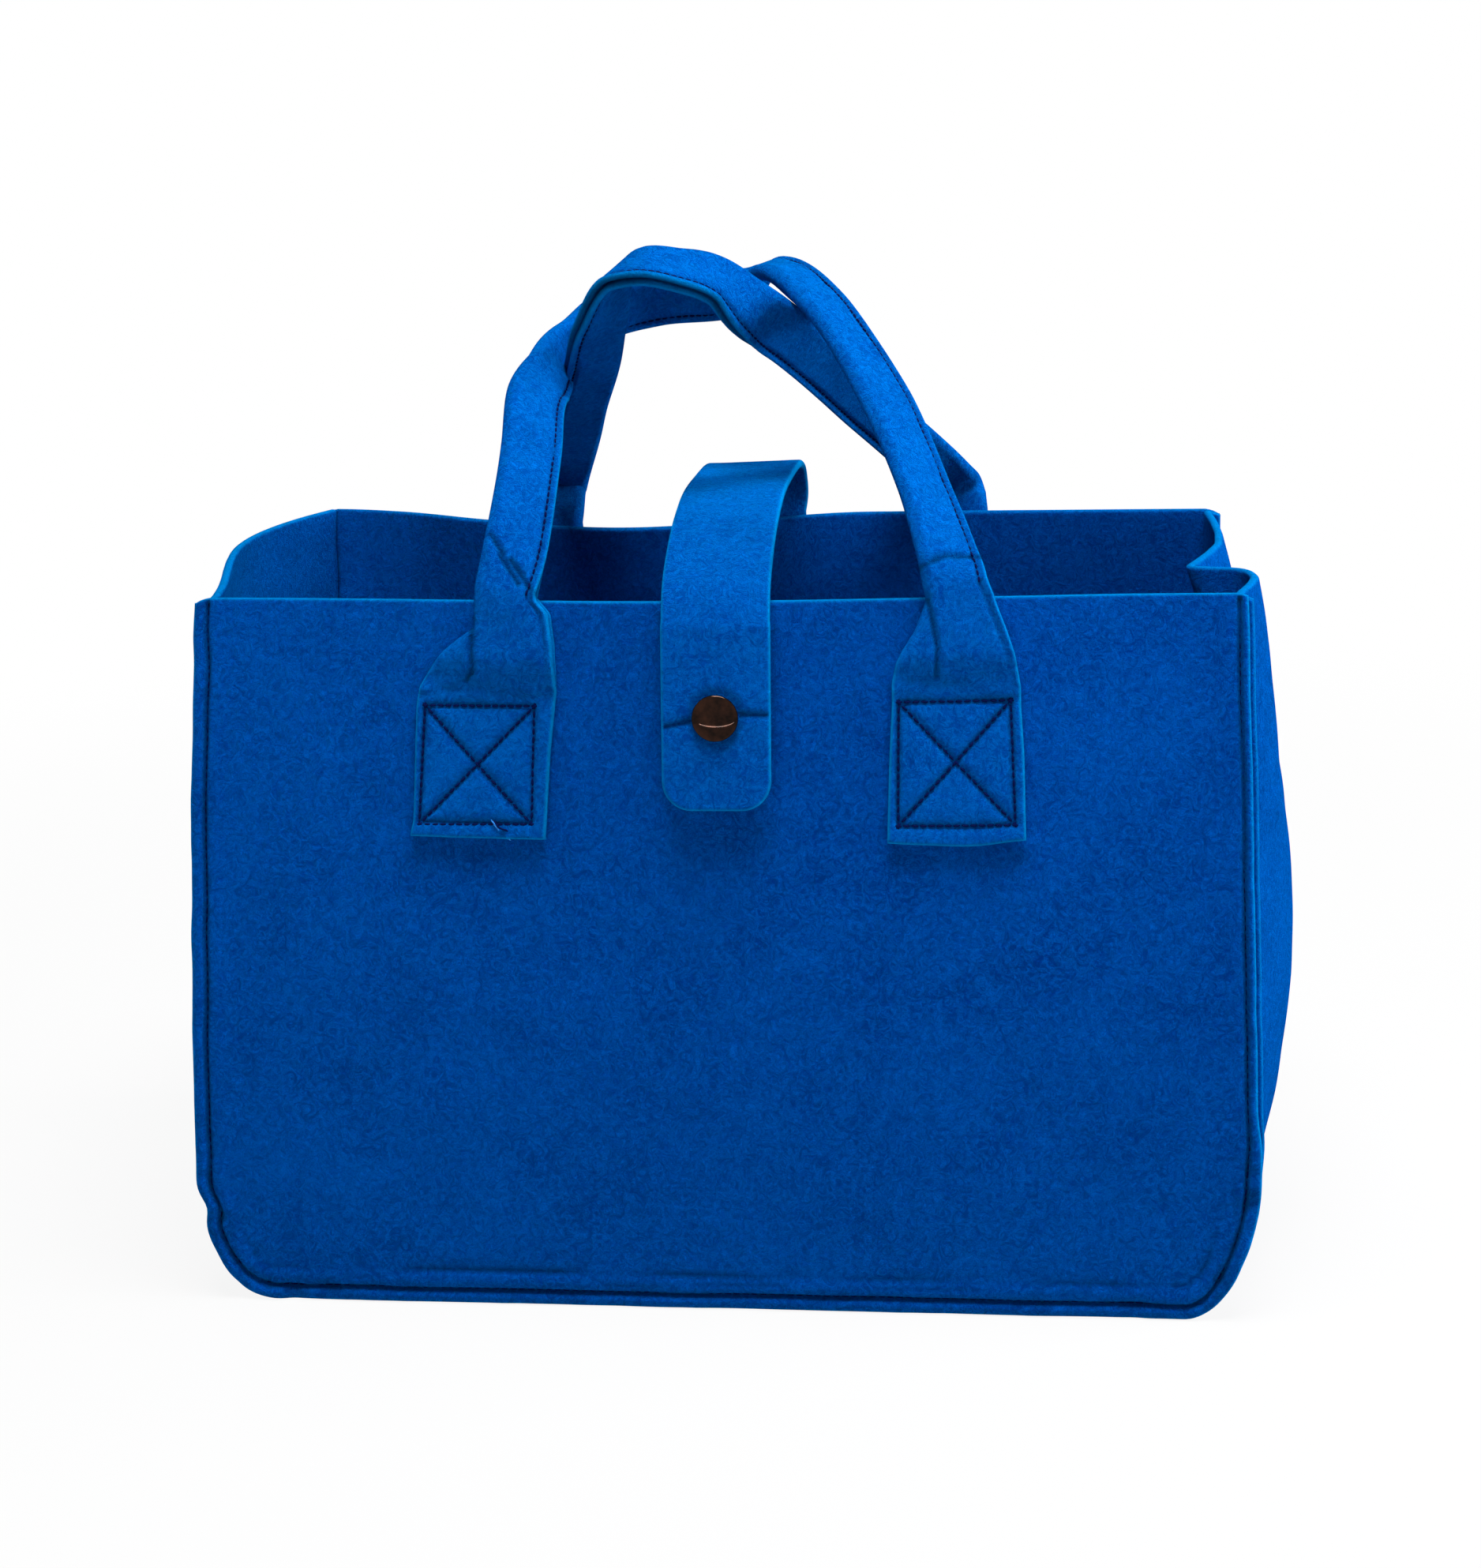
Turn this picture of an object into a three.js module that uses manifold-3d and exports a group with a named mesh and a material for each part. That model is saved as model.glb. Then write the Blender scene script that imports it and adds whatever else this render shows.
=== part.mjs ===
// A shopping bag sewn from thick needle felt: two panels, one gusset strip round their sides and base,
// two handles folded lengthwise, and a strap over the mouth that a press stud holds on the front.
// Millimetres, +Z up, the front faces -Y. The origin is the centre of the bag's footprint box.
import * as THREE from "three";
import { mergeVertices } from "three/addons/utils/BufferGeometryUtils.js";
import Module from "manifold-3d";

// Felt and seams
const FELT = 3; // thickness of every felt piece
const GAP = 0.4; // clearance between pieces that lie on each other
const FLANGE = 5; // seam allowance, turned outwards
const LAYER = FELT + GAP; // from one felt mid-surface to the next one laid on it

// Panels
const FRONT_RIM_WIDTH = 348;
const BACK_RIM_WIDTH = 354;
const BASE_WIDTH = 357;
const FRONT_HEIGHT = 236;
const BACK_HEIGHT = 239;
const CORNER_WIDTH = 27; // the rounded bottom corners
const LEFT_CORNER_HEIGHT = 43;
const RIGHT_CORNER_HEIGHT = 60;
const BASE_DEPTH = 190; // between the two panels' bottom edges
const FRONT_LEAN = 28; // how far the front rim's ends lie behind the front's bottom edge
const FRONT_BOW = 10; // how far the middle of the front rim stands forward of its ends
const BACK_FLARE = 19; // how far the back rim's left end lies behind the bottom edge
const BACK_DIP = 20; // how far the back rim is pulled forward left of its middle
const BACK_DROP = 2.5; // how far it hangs down there

// Gusset
const LEFT_BULGE = 18; // outward swell of the left wall near the rim
const RIGHT_BULGE = 22; // outward swell of the right wall at half height
const FOLD_START = 0.7; // share of the height where the right wall's crease begins
// The right wall at the rim, as share of the depth and place out of the straight line: it swells
// out behind the front seam, and a sharp crease runs inwards.
const RIM_FOLD = [
  [0, 0],
  [0.1, 4.5],
  [0.19, 7.5],
  [0.25, 6],
  [0.28, 1],
  [0.285, -13.5],
  [0.36, -10],
  [0.46, -5],
  [0.57, -0.5],
  [0.7, 1],
  [0.85, 0.8],
  [1, 0],
];

// Handles
const HANDLE_OFFSET = 78.4; // from the middle of the bag to the middle of a sewn handle end
const TAB_WIDTH = 45; // width of the felt strip, flat at its sewn ends
const TAB_BOTTOM = 158;
const TAB_TOP = 202;
const FOLDED_WIDTH = 20.5; // the strip folded lengthwise
const FOLDED_THICKNESS = 2 * FELT + 0.6;
const LEG_OFFSET = 66; // middle of a folded leg where it leaves the front rim on the left
const HANDLE_RISE = 100; // from the rim to the handles' highest middle line

// Closure strap and its press stud
const STRAP_WIDTH = 35;
const STRAP_MIDDLE = 2; // the strap lies a little right of the bag's middle
const STRAP_CORNER = 9.5;
const STRAP_BOTTOM = 168;
const STRAP_SEWN = 40; // length of the end that is sewn on the back panel
const STRAP_RISE = 27; // highest middle line of the strap over the rim
const RIM_BEND = 8; // how far below the front rim the strap hangs flat
// Its line over the mouth: share of the way from the back to the front, and of its rise.
const STRAP_ARCH = [
  [-0.01, 0.35],
  [0.02, 0.7],
  [0.12, 0.92],
  [0.4, 1],
  [0.65, 0.93],
  [0.85, 0.6],
  [0.97, 0.16],
];
const SNAP_HEIGHT = 199.3;
const CAP_RADIUS = 7.5;
const CAP_RISE = 2.4;
const CAP_RIM = 0.6; // thickness of the domed cap at its edge
const SOCKET_RADIUS = 6.2;
const SOCKET_THICKNESS = 2;
const SOCKET_WALL = 0.5; // the socket's closed side, round the cap's post
const STUD_RADIUS = 5.8;
const STUD_PLATE = 0.7;
const BOSS_RADIUS = 2.2; // the stud's boss, which clicks into the socket
const BOSS_RISE = 1.2;
const BOSS_CHAMFER = 0.3;
const CAP_POST_RADIUS = 1.5; // runs through the strap
const CAP_POST_DEPTH = 0.8; // how far it reaches into the socket
const POST_HOLE = CAP_POST_RADIUS + GAP;
const STUD_BORE = POST_HOLE - 0.2;
const RIVET_RADIUS = POST_HOLE - 0.5; // carries the stud, through the front panel
const HEAD_RADIUS = 5;
const HEAD_THICKNESS = 1;
const HEAD_ROUND = 0.5;

// Sewing threads on the handle ends and on the strap's sewn end
const THREAD = 0.8; // width
const THREAD_RISE = 0.5;
const STITCH_INSET = 4; // from the felt's edge to the row of stitches

const GRID = { across: 34, up: 9, corner: 5, base: 8, round: 24 };

const felt = (color) => new THREE.MeshStandardMaterial({ color, roughness: 0.95, metalness: 0 });
const metal = (color) => new THREE.MeshStandardMaterial({ color, roughness: 0.3, metalness: 1 });
const BLUE = 0x0a4fa8;
const BRIGHT_BLUE = 0x0f66cf;
const NAVY = 0x0b1c5c;
const GUNMETAL = 0x2a1c14;

const lerp = THREE.MathUtils.lerp;
const smooth = THREE.MathUtils.smoothstep;
const vec = (x, y, z) => new THREE.Vector3(x, y, z);

// A closed band through rows of points. Each row has an outer and an inner line of equal length.
function band(rows) {
  const count = rows[0].outer.length;
  const ring = 2 * count;
  const points = rows.flatMap((row) => [...row.outer, ...[...row.inner].reverse()]);
  const index = [];
  const quad = (a, b, c, d) => index.push(a, b, c, a, c, d);
  for (let r = 0; r + 1 < rows.length; r++)
    for (let k = 0; k < ring; k++) {
      const next = (k + 1) % ring;
      quad(r * ring + k, r * ring + next, (r + 1) * ring + next, (r + 1) * ring + k);
    }
  const last = (rows.length - 1) * ring;
  for (let k = 0; k + 1 < count; k++) {
    quad(ring - 1 - k, ring - 2 - k, k + 1, k);
    quad(last + k, last + k + 1, last + ring - 2 - k, last + ring - 1 - k);
  }
  const geometry = new THREE.BufferGeometry().setFromPoints(points).setIndex(index);
  return facingOut(geometry);
}

// Turns every triangle round where the solid would be inside out.
function facingOut(geometry) {
  const position = geometry.getAttribute("position");
  const index = geometry.getIndex().array;
  const corner = (i) => new THREE.Vector3().fromBufferAttribute(position, index[i]);
  let volume = 0;
  for (let i = 0; i < index.length; i += 3)
    volume += corner(i).dot(corner(i + 1).cross(corner(i + 2)));
  if (volume < 0)
    for (let i = 0; i < index.length; i += 3)
      [index[i + 1], index[i + 2]] = [index[i + 2], index[i + 1]];
  return geometry;
}

// A smooth hump of height 1 round a middle, with a reach to each side.
function hump(x, centre, reach) {
  const share = THREE.MathUtils.clamp((x - centre) / reach, -1, 1);
  return Math.cos((Math.PI / 2) * share) ** 2;
}

// The mid-surface of a panel, at a place across and a nominal height up the sheet.
const panels = {
  front: {
    height: FRONT_HEIGHT,
    rimWidth: FRONT_RIM_WIDTH,
    out: -1,
    at(x, up) {
      const rise = (up / FRONT_HEIGHT) ** 2;
      const bow = FRONT_BOW * hump(x, 0, FRONT_RIM_WIDTH / 2);
      return vec(x, -BASE_DEPTH / 2 + rise * (FRONT_LEAN - bow), up);
    },
  },
  back: {
    height: BACK_HEIGHT,
    rimWidth: BACK_RIM_WIDTH,
    out: 1,
    at(x, up) {
      const rise = (up / BACK_HEIGHT) ** 2;
      const width = BACK_RIM_WIDTH;
      const dip = hump(x, -0.14 * width, 0.27 * width);
      const flare = BACK_FLARE * hump(x, -0.5 * width, 0.2 * width) - BACK_DIP * dip;
      return vec(x, BASE_DEPTH / 2 + rise * flare, up - rise * BACK_DROP * dip);
    },
  },
};

// The direction out of the bag at a place on a panel.
function panelNormal(panel, x, up) {
  const step = 0.5;
  const across = panel.at(x + step, up).sub(panel.at(x - step, up));
  const along = panel.at(x, up + step).sub(panel.at(x, up - step));
  return along.cross(across).multiplyScalar(panel.out).normalize();
}

// A point over a panel's mid-surface, offset out of the bag.
function onPanel(panel, x, up, offset) {
  return panel.at(x, up).addScaledVector(panelNormal(panel, x, up), offset);
}

// The edge of a panel on one side: its straight part, and its rounded bottom corner as a quarter
// of an ellipse.
const cornerHeight = (side) => (side < 0 ? LEFT_CORNER_HEIGHT : RIGHT_CORNER_HEIGHT);
const straightHalf = (panel, up) => lerp(BASE_WIDTH, panel.rimWidth, up / panel.height) / 2;

function edgeX(panel, side, up) {
  const below = Math.max(0, 1 - up / cornerHeight(side));
  return side * (straightHalf(panel, up) - CORNER_WIDTH * (1 - Math.sqrt(1 - below ** 2)));
}

function panelGeometry(panel) {
  const heights = [];
  for (let i = 0; i <= GRID.corner; i++)
    heights.push(RIGHT_CORNER_HEIGHT * (1 - Math.cos(((i / GRID.corner) * Math.PI) / 2)));
  for (let i = 1; i <= GRID.up; i++)
    heights.push(lerp(RIGHT_CORNER_HEIGHT, panel.height, i / GRID.up));
  const rows = heights.map((up) => {
    const from = edgeX(panel, -1, up);
    const to = edgeX(panel, 1, up);
    const xs = Array.from({ length: GRID.across + 1 }, (_, i) => lerp(from, to, i / GRID.across));
    return {
      outer: xs.map((x) => onPanel(panel, x, up, FELT / 2)),
      inner: xs.map((x) => onPanel(panel, x, up, -FELT / 2)),
    };
  });
  return band(rows);
}

// The seam of a panel, from its left rim end round the base to its right rim end. Each place has
// its point on the panel, the direction across the seam, and the panel's edge.
function seamLine(panel) {
  const places = [];
  const add = (x, up, nx, nz) => {
    const length = Math.hypot(nx, nz);
    const out = { nx: nx / length, nz: nz / length };
    places.push({ x: x - FLANGE * out.nx, up: up - FLANGE * out.nz, ...out, edge: { x, up } });
  };
  const side = (hand) => {
    const high = Array.from({ length: GRID.up }, (_, i) => i / GRID.up);
    return high.map((t) => {
      const up = lerp(panel.height, cornerHeight(hand), t);
      return [edgeX(panel, hand, up), up, hand, 0];
    });
  };
  const corner = (hand) =>
    Array.from({ length: GRID.corner + 1 }, (_, i) => {
      const angle = ((i / GRID.corner) * Math.PI) / 2;
      const up = cornerHeight(hand) * (1 - Math.sin(angle));
      const nx = (hand * Math.cos(angle)) / CORNER_WIDTH;
      return [edgeX(panel, hand, up), up, nx, -Math.sin(angle) / cornerHeight(hand)];
    });
  const base = Array.from({ length: GRID.base - 1 }, (_, i) => {
    const half = straightHalf(panel, 0) - CORNER_WIDTH;
    return [half * (-1 + (2 * (i + 1)) / GRID.base), 0, 0, -1];
  });
  const all = [
    ...side(-1),
    ...corner(-1),
    ...base,
    ...corner(1).reverse(),
    ...side(1).reverse(),
  ];
  for (const place of all) add(...place);
  return places;
}

// How far the gusset's wall stands out of the straight line between its two seams.
function wallSwell(left, share, [t, fold]) {
  const low = Math.sin((Math.PI / 2) * Math.min(1, share * 1.2));
  if (left) return LEFT_BULGE * low * Math.sin(Math.PI * t ** 1.4);
  const bulge = RIGHT_BULGE * Math.sin(Math.PI * t) * Math.sin(Math.PI * Math.min(1, share ** 0.95));
  return bulge + fold * smooth(share, FOLD_START, 1);
}

// Moves an open line in a plane sideways by a distance, with mitred corners.
function offsetLine(line, distance) {
  return line.map((p, i) => {
    const before = line[Math.max(0, i - 1)];
    const after = line[Math.min(line.length - 1, i + 1)];
    const a = i ? p.clone().sub(before).normalize() : after.clone().sub(p).normalize();
    const b = i < line.length - 1 ? after.clone().sub(p).normalize() : a;
    const normal = new THREE.Vector2(-a.y - b.y, a.x + b.x).normalize();
    const mitre = distance / Math.max(0.4, normal.dot(new THREE.Vector2(-a.y, a.x)));
    return p.clone().addScaledVector(normal, mitre);
  });
}

function gussetGeometry() {
  const { front, back } = panels;
  const backLine = seamLine(back);
  const rows = seamLine(front).map((f, i) => {
    const b = backLine[i];
    const under = (panel, { x, up }) => onPanel(panel, x, up, -LAYER);
    const from = under(front, f);
    const to = under(back, b);
    const share = Math.max(0, (f.up - FLANGE) / (FRONT_HEIGHT - FLANGE));
    const section = RIM_FOLD.slice(1, -1).map((knot) => {
      const swell = wallSwell(f.x < 0, share, knot);
      return new THREE.Vector2(swell, lerp(from.y, to.y, knot[0]));
    });
    const lip = (panel, edge, seam) => {
      const end = under(panel, edge);
      const reach = (end.x - seam.x) * f.nx + (end.z - seam.z) * f.nz;
      return new THREE.Vector2(reach, end.y);
    };
    section.unshift(lip(front, f.edge, from), new THREE.Vector2(0, from.y));
    section.push(new THREE.Vector2(0, to.y), lip(back, b.edge, to));
    const place = (p) => {
      const t = THREE.MathUtils.clamp((p.y - from.y) / (to.y - from.y), 0, 1);
      return vec(lerp(from.x, to.x, t) + p.x * f.nx, p.y, lerp(from.z, to.z, t) + p.x * f.nz);
    };
    return {
      outer: offsetLine(section, FELT / 2).map(place),
      inner: offsetLine(section, -FELT / 2).map(place),
    };
  });
  return band(rows);
}

// The places across a strip, and how thick a folded one is there.
const ACROSS = [-1, -0.86, -0.3, 0.3, 0.86, 1];
const PLUMP = [0.4, 1, 1, 1, 1, 0.4];

// The row of a strip over a middle surface: each place has its point and its direction out.
function stripRow(places, thickness, folded) {
  const line = (sign) =>
    places.map(({ at, out }, k) =>
      at.clone().addScaledVector(out, (sign * thickness * (folded ? PLUMP[k] : 1)) / 2),
    );
  return { outer: line(1), inner: line(-1) };
}

// The places across a free strip that runs along a direction.
function freePlaces(middle, along, edge, width) {
  const side = edge.clone().addScaledVector(along, -edge.dot(along)).normalize();
  const out = side.clone().cross(along);
  return ACROSS.map((a) => ({ at: middle.clone().addScaledVector(side, (a * width) / 2), out }));
}

// The handles' free runs between the rims, from the left leg to the right one: place across in
// handle offsets, place from the front rim at 0 to the back rim at 1, height over the rim in
// handle rises, and the direction towards the sewn edge.
const FRONT_RUN = [
  [-0.82, 0.02, 0.15, [0.95, 0.3, 0]],
  [-0.8, 0.07, 0.28, [0.9, 0.4, 0]],
  [-0.77, 0.17, 0.46, [0.86, 0.5, 0]],
  [-0.75, 0.28, 0.61, [0.65, 0.75, 0]],
  [-0.76, 0.41, 0.72, [0.2, 0.95, -0.25]],
  [-0.75, 0.55, 0.8, [0.1, 0.9, -0.4]],
  [-0.62, 0.68, 0.85, [0.15, 0.6, -0.8]],
  [-0.4, 0.73, 0.89, [0.05, 0.35, -0.92]],
  [-0.02, 0.68, 0.92, [0, 0.5, -0.87]],
  [0.14, 0.6, 0.98, [0, 1, 0.05]],
  [0.4, 0.46, 0.87, [0.4, 0.9, 0.1]],
  [0.7, 0.27, 0.6, [0.7, 0.7, 0]],
  [0.88, 0.12, 0.3, [0.75, 0.6, 0]],
  [0.97, 0.03, 0.14, [0.9, 0.3, 0]],
];
const BACK_RUN = [
  [-1, 1.01, 0.13, [-1, 0, 0]],
  [-0.9, 0.86, 0.33, [-0.85, -0.5, 0]],
  [-0.74, 0.66, 0.52, [-0.6, -0.75, 0]],
  [-0.575, 0.46, 0.7, [-0.2, -0.98, 0]],
  [-0.52, 0.34, 0.87, [-0.2, -0.98, 0]],
  [-0.47, 0.3, 1.02, [-0.1, -0.9, -0.35]],
  [-0.17, 0.3, 1, [0.1, -0.96, -0.25]],
  [0.05, 0.35, 0.92, [-0.15, -0.94, -0.3]],
  [0.19, 0.48, 0.78, [-0.45, -0.7, -0.55]],
  [0.36, 0.61, 0.72, [-0.6, -0.3, -0.7]],
  [0.6, 0.78, 0.5, [-0.7, -0.2, -0.7]],
  [0.84, 0.93, 0.27, [-0.85, -0.1, -0.5]],
  [0.96, 1, 0.13, [-1, 0, 0]],
];

// The end of a handle on its panel, from the sewn end up to the rim. The side is -1 on the left.
function handleEnd(panel, side, sewn) {
  const legs = panel === panels.front && side < 0 ? LEG_OFFSET : HANDLE_OFFSET;
  const row = (height, fold) => {
    const width = lerp(TAB_WIDTH, FOLDED_WIDTH, Math.min(1, 1.2 * fold));
    const thickness = lerp(FELT, FOLDED_THICKNESS, fold);
    const offset = FELT / 2 + GAP + thickness / 2;
    const middle = side * lerp(HANDLE_OFFSET, legs, fold);
    const places = ACROSS.map((a) => {
      const x = middle + (sewn * a * width) / 2;
      const out = panelNormal(panel, x, height).multiplyScalar(-side);
      return { at: onPanel(panel, x, height, offset), out };
    });
    return stripRow(places, thickness, fold > 0);
  };
  const rise = (share) => lerp(TAB_TOP, panel.height, share);
  return [
    ...[0, 0.33, 0.67, 1].map((share) => row(lerp(TAB_BOTTOM, TAB_TOP, share), 0)),
    row(rise(0.3), 0.5),
    row(rise(0.6), 1),
    row(rise(0.97), 1),
  ];
}

function handleGeometry(panel, run, sewn) {
  const offset = FELT / 2 + GAP + FOLDED_THICKNESS / 2;
  const atRim = (p) => onPanel(p, HANDLE_OFFSET, p.height, offset).y;
  const leg = (side) => (panel === panels.front && side < 0 ? -LEG_OFFSET : side * HANDLE_OFFSET);
  const rim = (side) => ({
    at: onPanel(panel, leg(side), panel.height, offset).add(vec(0, 0, FELT)),
    edge: vec(sewn, 0, 0),
  });
  const free = run.map(([across, depth, up, toSewnEdge]) => ({
    at: vec(
      across * HANDLE_OFFSET,
      lerp(atRim(panels.front), atRim(panels.back), depth),
      FRONT_HEIGHT + up * HANDLE_RISE,
    ),
    edge: vec(...toSewnEdge).normalize(),
  }));
  const stations = [rim(-1), ...free, rim(1)];
  const middle = new THREE.CatmullRomCurve3(stations.map((s) => s.at));
  const edge = new THREE.CatmullRomCurve3(stations.map((s) => s.edge));
  const steps = 3 * (stations.length - 1);
  const rows = Array.from({ length: steps + 1 }, (_, i) => {
    const t = i / steps;
    const along = middle.getTangent(t);
    const places = freePlaces(middle.getPoint(t), along, edge.getPoint(t), FOLDED_WIDTH);
    return stripRow(places, FOLDED_THICKNESS, true);
  });
  return band([...handleEnd(panel, -1, sewn), ...rows, ...handleEnd(panel, 1, sewn).reverse()]);
}

// Height of the strap's middle line over the front panel: the press stud lies between them.
const STRAP_OFFSET = FELT + STUD_PLATE + SOCKET_THICKNESS + 3 * GAP;

// The strap: sewn on the back panel, free over the mouth, and hanging on the front panel.
function strapGeometry() {
  const { front, back } = panels;
  const onto = (panel, up, offset, half = STRAP_WIDTH / 2) =>
    ACROSS.map((a) => {
      const x = STRAP_MIDDLE + a * half;
      return { at: onPanel(panel, x, up, offset), out: panelNormal(panel, x, up).negate() };
    });
  const rows = [1, 0.67, 0.33, 0].map((share) => onto(back, back.height - share * STRAP_SEWN, LAYER));
  const from = onPanel(back, STRAP_MIDDLE, back.height, LAYER);
  const to = onPanel(front, STRAP_MIDDLE, front.height, STRAP_OFFSET);
  const hanging = (share) => lerp(front.height - RIM_BEND, STRAP_BOTTOM + STRAP_CORNER, share);
  const end = onPanel(front, STRAP_MIDDLE, hanging(0), STRAP_OFFSET);
  const arch = STRAP_ARCH.map(([share, up]) =>
    vec(STRAP_MIDDLE, lerp(from.y, to.y, share), FRONT_HEIGHT + up * STRAP_RISE),
  );
  const line = new THREE.CatmullRomCurve3([from, ...arch, end]);
  const bow = (panel, x) => panel.at(x, panel.height).y - panel.at(STRAP_MIDDLE, panel.height).y;
  const steps = 3 * (arch.length + 1);
  for (let i = 1; i < steps; i++) {
    const share = i / steps;
    const along = line.getTangentAt(share);
    const places = freePlaces(line.getPointAt(share), along, vec(1, 0, 0), STRAP_WIDTH);
    for (const { at } of places) at.y += lerp(bow(back, at.x), bow(front, at.x), share);
    rows.push(places);
  }
  for (let i = 0; i <= GRID.corner; i++) rows.push(onto(front, hanging(i / GRID.corner), STRAP_OFFSET));
  for (let i = 1; i <= GRID.corner; i++) {
    const angle = ((i / GRID.corner) * Math.PI) / 2;
    const up = STRAP_BOTTOM + STRAP_CORNER * (1 - Math.sin(angle));
    const half = STRAP_WIDTH / 2 - STRAP_CORNER * (1 - Math.cos(angle));
    rows.push(onto(front, up, STRAP_OFFSET, half));
  }
  return band(rows.map((places) => stripRow(places, FELT, false)));
}

// Booleans
const wasm = await Module();
wasm.setup();

function toSolid(geometry) {
  const bare = geometry.clone();
  for (const name of Object.keys(bare.attributes))
    if (name !== "position") bare.deleteAttribute(name);
  const merged = mergeVertices(bare, 1e-4);
  return new wasm.Manifold(
    new wasm.Mesh({
      numProp: 3,
      vertProperties: merged.getAttribute("position").array,
      triVerts: new Uint32Array(merged.getIndex().array),
    }),
  );
}

function fromSolid(solid) {
  const mesh = solid.getMesh();
  return new THREE.BufferGeometry()
    .setAttribute("position", new THREE.BufferAttribute(mesh.vertProperties, 3))
    .setIndex(new THREE.BufferAttribute(mesh.triVerts, 1));
}

const cut = (geometry, tool) => fromSolid(toSolid(geometry).subtract(toSolid(tool)));

// The press stud's axis: it points out of the front panel at the snap's height.
const snapAxis = panelNormal(panels.front, STRAP_MIDDLE, SNAP_HEIGHT);
const snapFoot = panels.front.at(STRAP_MIDDLE, SNAP_HEIGHT);
const snapTurn = new THREE.Quaternion().setFromUnitVectors(vec(0, 1, 0), snapAxis);

function snapHole() {
  const reach = 2 * (STRAP_OFFSET + FELT);
  const hole = new THREE.CylinderGeometry(POST_HOLE, POST_HOLE, reach, GRID.round);
  return hole.applyQuaternion(snapTurn).translate(...snapFoot.toArray());
}

// A round piece of the press stud: its half section as radius and height over the panel's middle.
function turned(profile) {
  const points = profile.map(([radius, height]) => new THREE.Vector2(radius, height));
  return facingOut(closed(new THREE.LatheGeometry(points, GRID.round)));
}

function closed(geometry) {
  const bare = geometry.clone();
  bare.deleteAttribute("normal");
  bare.deleteAttribute("uv");
  const merged = mergeVertices(bare, 1e-4);
  const flat = merged.getIndex().array;
  const kept = [];
  for (let i = 0; i < flat.length; i += 3)
    if (flat[i] !== flat[i + 1] && flat[i + 1] !== flat[i + 2] && flat[i] !== flat[i + 2])
      kept.push(flat[i], flat[i + 1], flat[i + 2]);
  return merged.setIndex(kept);
}

const face = FELT / 2 + GAP; // the front panel's outer face, with its clearance
const studTop = face + STUD_PLATE;
const socketFoot = studTop + GAP;
const socketTop = socketFoot + SOCKET_THICKNESS;
const strapFace = STRAP_OFFSET + FELT / 2 + GAP;

// A domed cap with the post that runs through the strap into the socket.
const capProfile = [
  [0, socketTop - CAP_POST_DEPTH],
  [CAP_POST_RADIUS, socketTop - CAP_POST_DEPTH],
  [CAP_POST_RADIUS, strapFace],
  [CAP_RADIUS, strapFace],
  [CAP_RADIUS, strapFace + CAP_RIM],
  [0.93 * CAP_RADIUS, strapFace + 0.55 * CAP_RISE],
  [0.66 * CAP_RADIUS, strapFace + 0.85 * CAP_RISE],
  [0.33 * CAP_RADIUS, strapFace + 0.97 * CAP_RISE],
  [0, strapFace + CAP_RISE],
];
// A ring with a wide bore for the stud's boss and a narrow one for the cap's post.
const socketProfile = [
  [BOSS_RADIUS + GAP, socketFoot],
  [SOCKET_RADIUS, socketFoot],
  [SOCKET_RADIUS, socketTop],
  [POST_HOLE, socketTop],
  [POST_HOLE, socketTop - SOCKET_WALL],
  [BOSS_RADIUS + GAP, socketTop - SOCKET_WALL],
  [BOSS_RADIUS + GAP, socketFoot],
];
// A plate with a hollow boss.
const studProfile = [
  [STUD_BORE, face],
  [STUD_RADIUS, face],
  [STUD_RADIUS, studTop],
  [BOSS_RADIUS, studTop],
  [BOSS_RADIUS, studTop + BOSS_RISE - BOSS_CHAMFER],
  [BOSS_RADIUS - BOSS_CHAMFER, studTop + BOSS_RISE],
  [STUD_BORE, studTop + BOSS_RISE],
  [STUD_BORE, face],
];
// A flat head inside the bag, with the post that carries the stud.
const postProfile = [
  [0, -face - HEAD_THICKNESS],
  [HEAD_RADIUS - HEAD_ROUND, -face - HEAD_THICKNESS],
  [HEAD_RADIUS, -face - HEAD_THICKNESS + HEAD_ROUND],
  [HEAD_RADIUS, -face],
  [RIVET_RADIUS, -face],
  [RIVET_RADIUS, studTop],
  [0, studTop],
];

// A closed line with every side in four, so that it can follow a curved panel.
const split = (line) =>
  line.flatMap((p, i) => {
    const next = line[(i + 1) % line.length];
    return [0, 0.25, 0.5, 0.75].map((t) => p.clone().lerp(next, t));
  });

// A square of stitches with a cross in it, raised over the felt that it holds. The cross leaves
// four triangular holes.
function boxStitch(panel, middle, bottom, width, height, offset) {
  const w = width / 2;
  const h = height / 2;
  const outline = new THREE.Shape(
    split([[-w, -h], [w, -h], [w, h], [-w, h]].map(([a, b]) => new THREE.Vector2(a, b))),
  );
  const wide = w - THREAD;
  const high = h - THREAD;
  const acrossCross = (THREAD * Math.hypot(wide, high)) / (2 * high); // half the thread, level
  const upCross = (THREAD * Math.hypot(wide, high)) / (2 * wide); // half the thread, upright
  const x = wide - acrossCross;
  const z = high - upCross;
  const holes = [
    [[-x, -high], [x, -high], [0, -upCross]],
    [[-x, high], [x, high], [0, upCross]],
    [[-wide, -z], [-wide, z], [-acrossCross, 0]],
    [[wide, -z], [wide, z], [acrossCross, 0]],
  ];
  for (const hole of holes)
    outline.holes.push(new THREE.Path(split(hole.map(([a, b]) => new THREE.Vector2(a, b)))));
  const flat = new THREE.ExtrudeGeometry(outline, { depth: THREAD_RISE, bevelEnabled: false });
  const thread = closed(flat);
  const position = thread.getAttribute("position");
  for (let i = 0; i < position.count; i++) {
    const at = [middle + position.getX(i), bottom + h + position.getY(i)];
    const p = onPanel(panel, ...at, offset + position.getZ(i));
    position.setXYZ(i, p.x, p.y, p.z);
  }
  return facingOut(thread);
}

// The whole bag
const bag = new THREE.Group();

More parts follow.
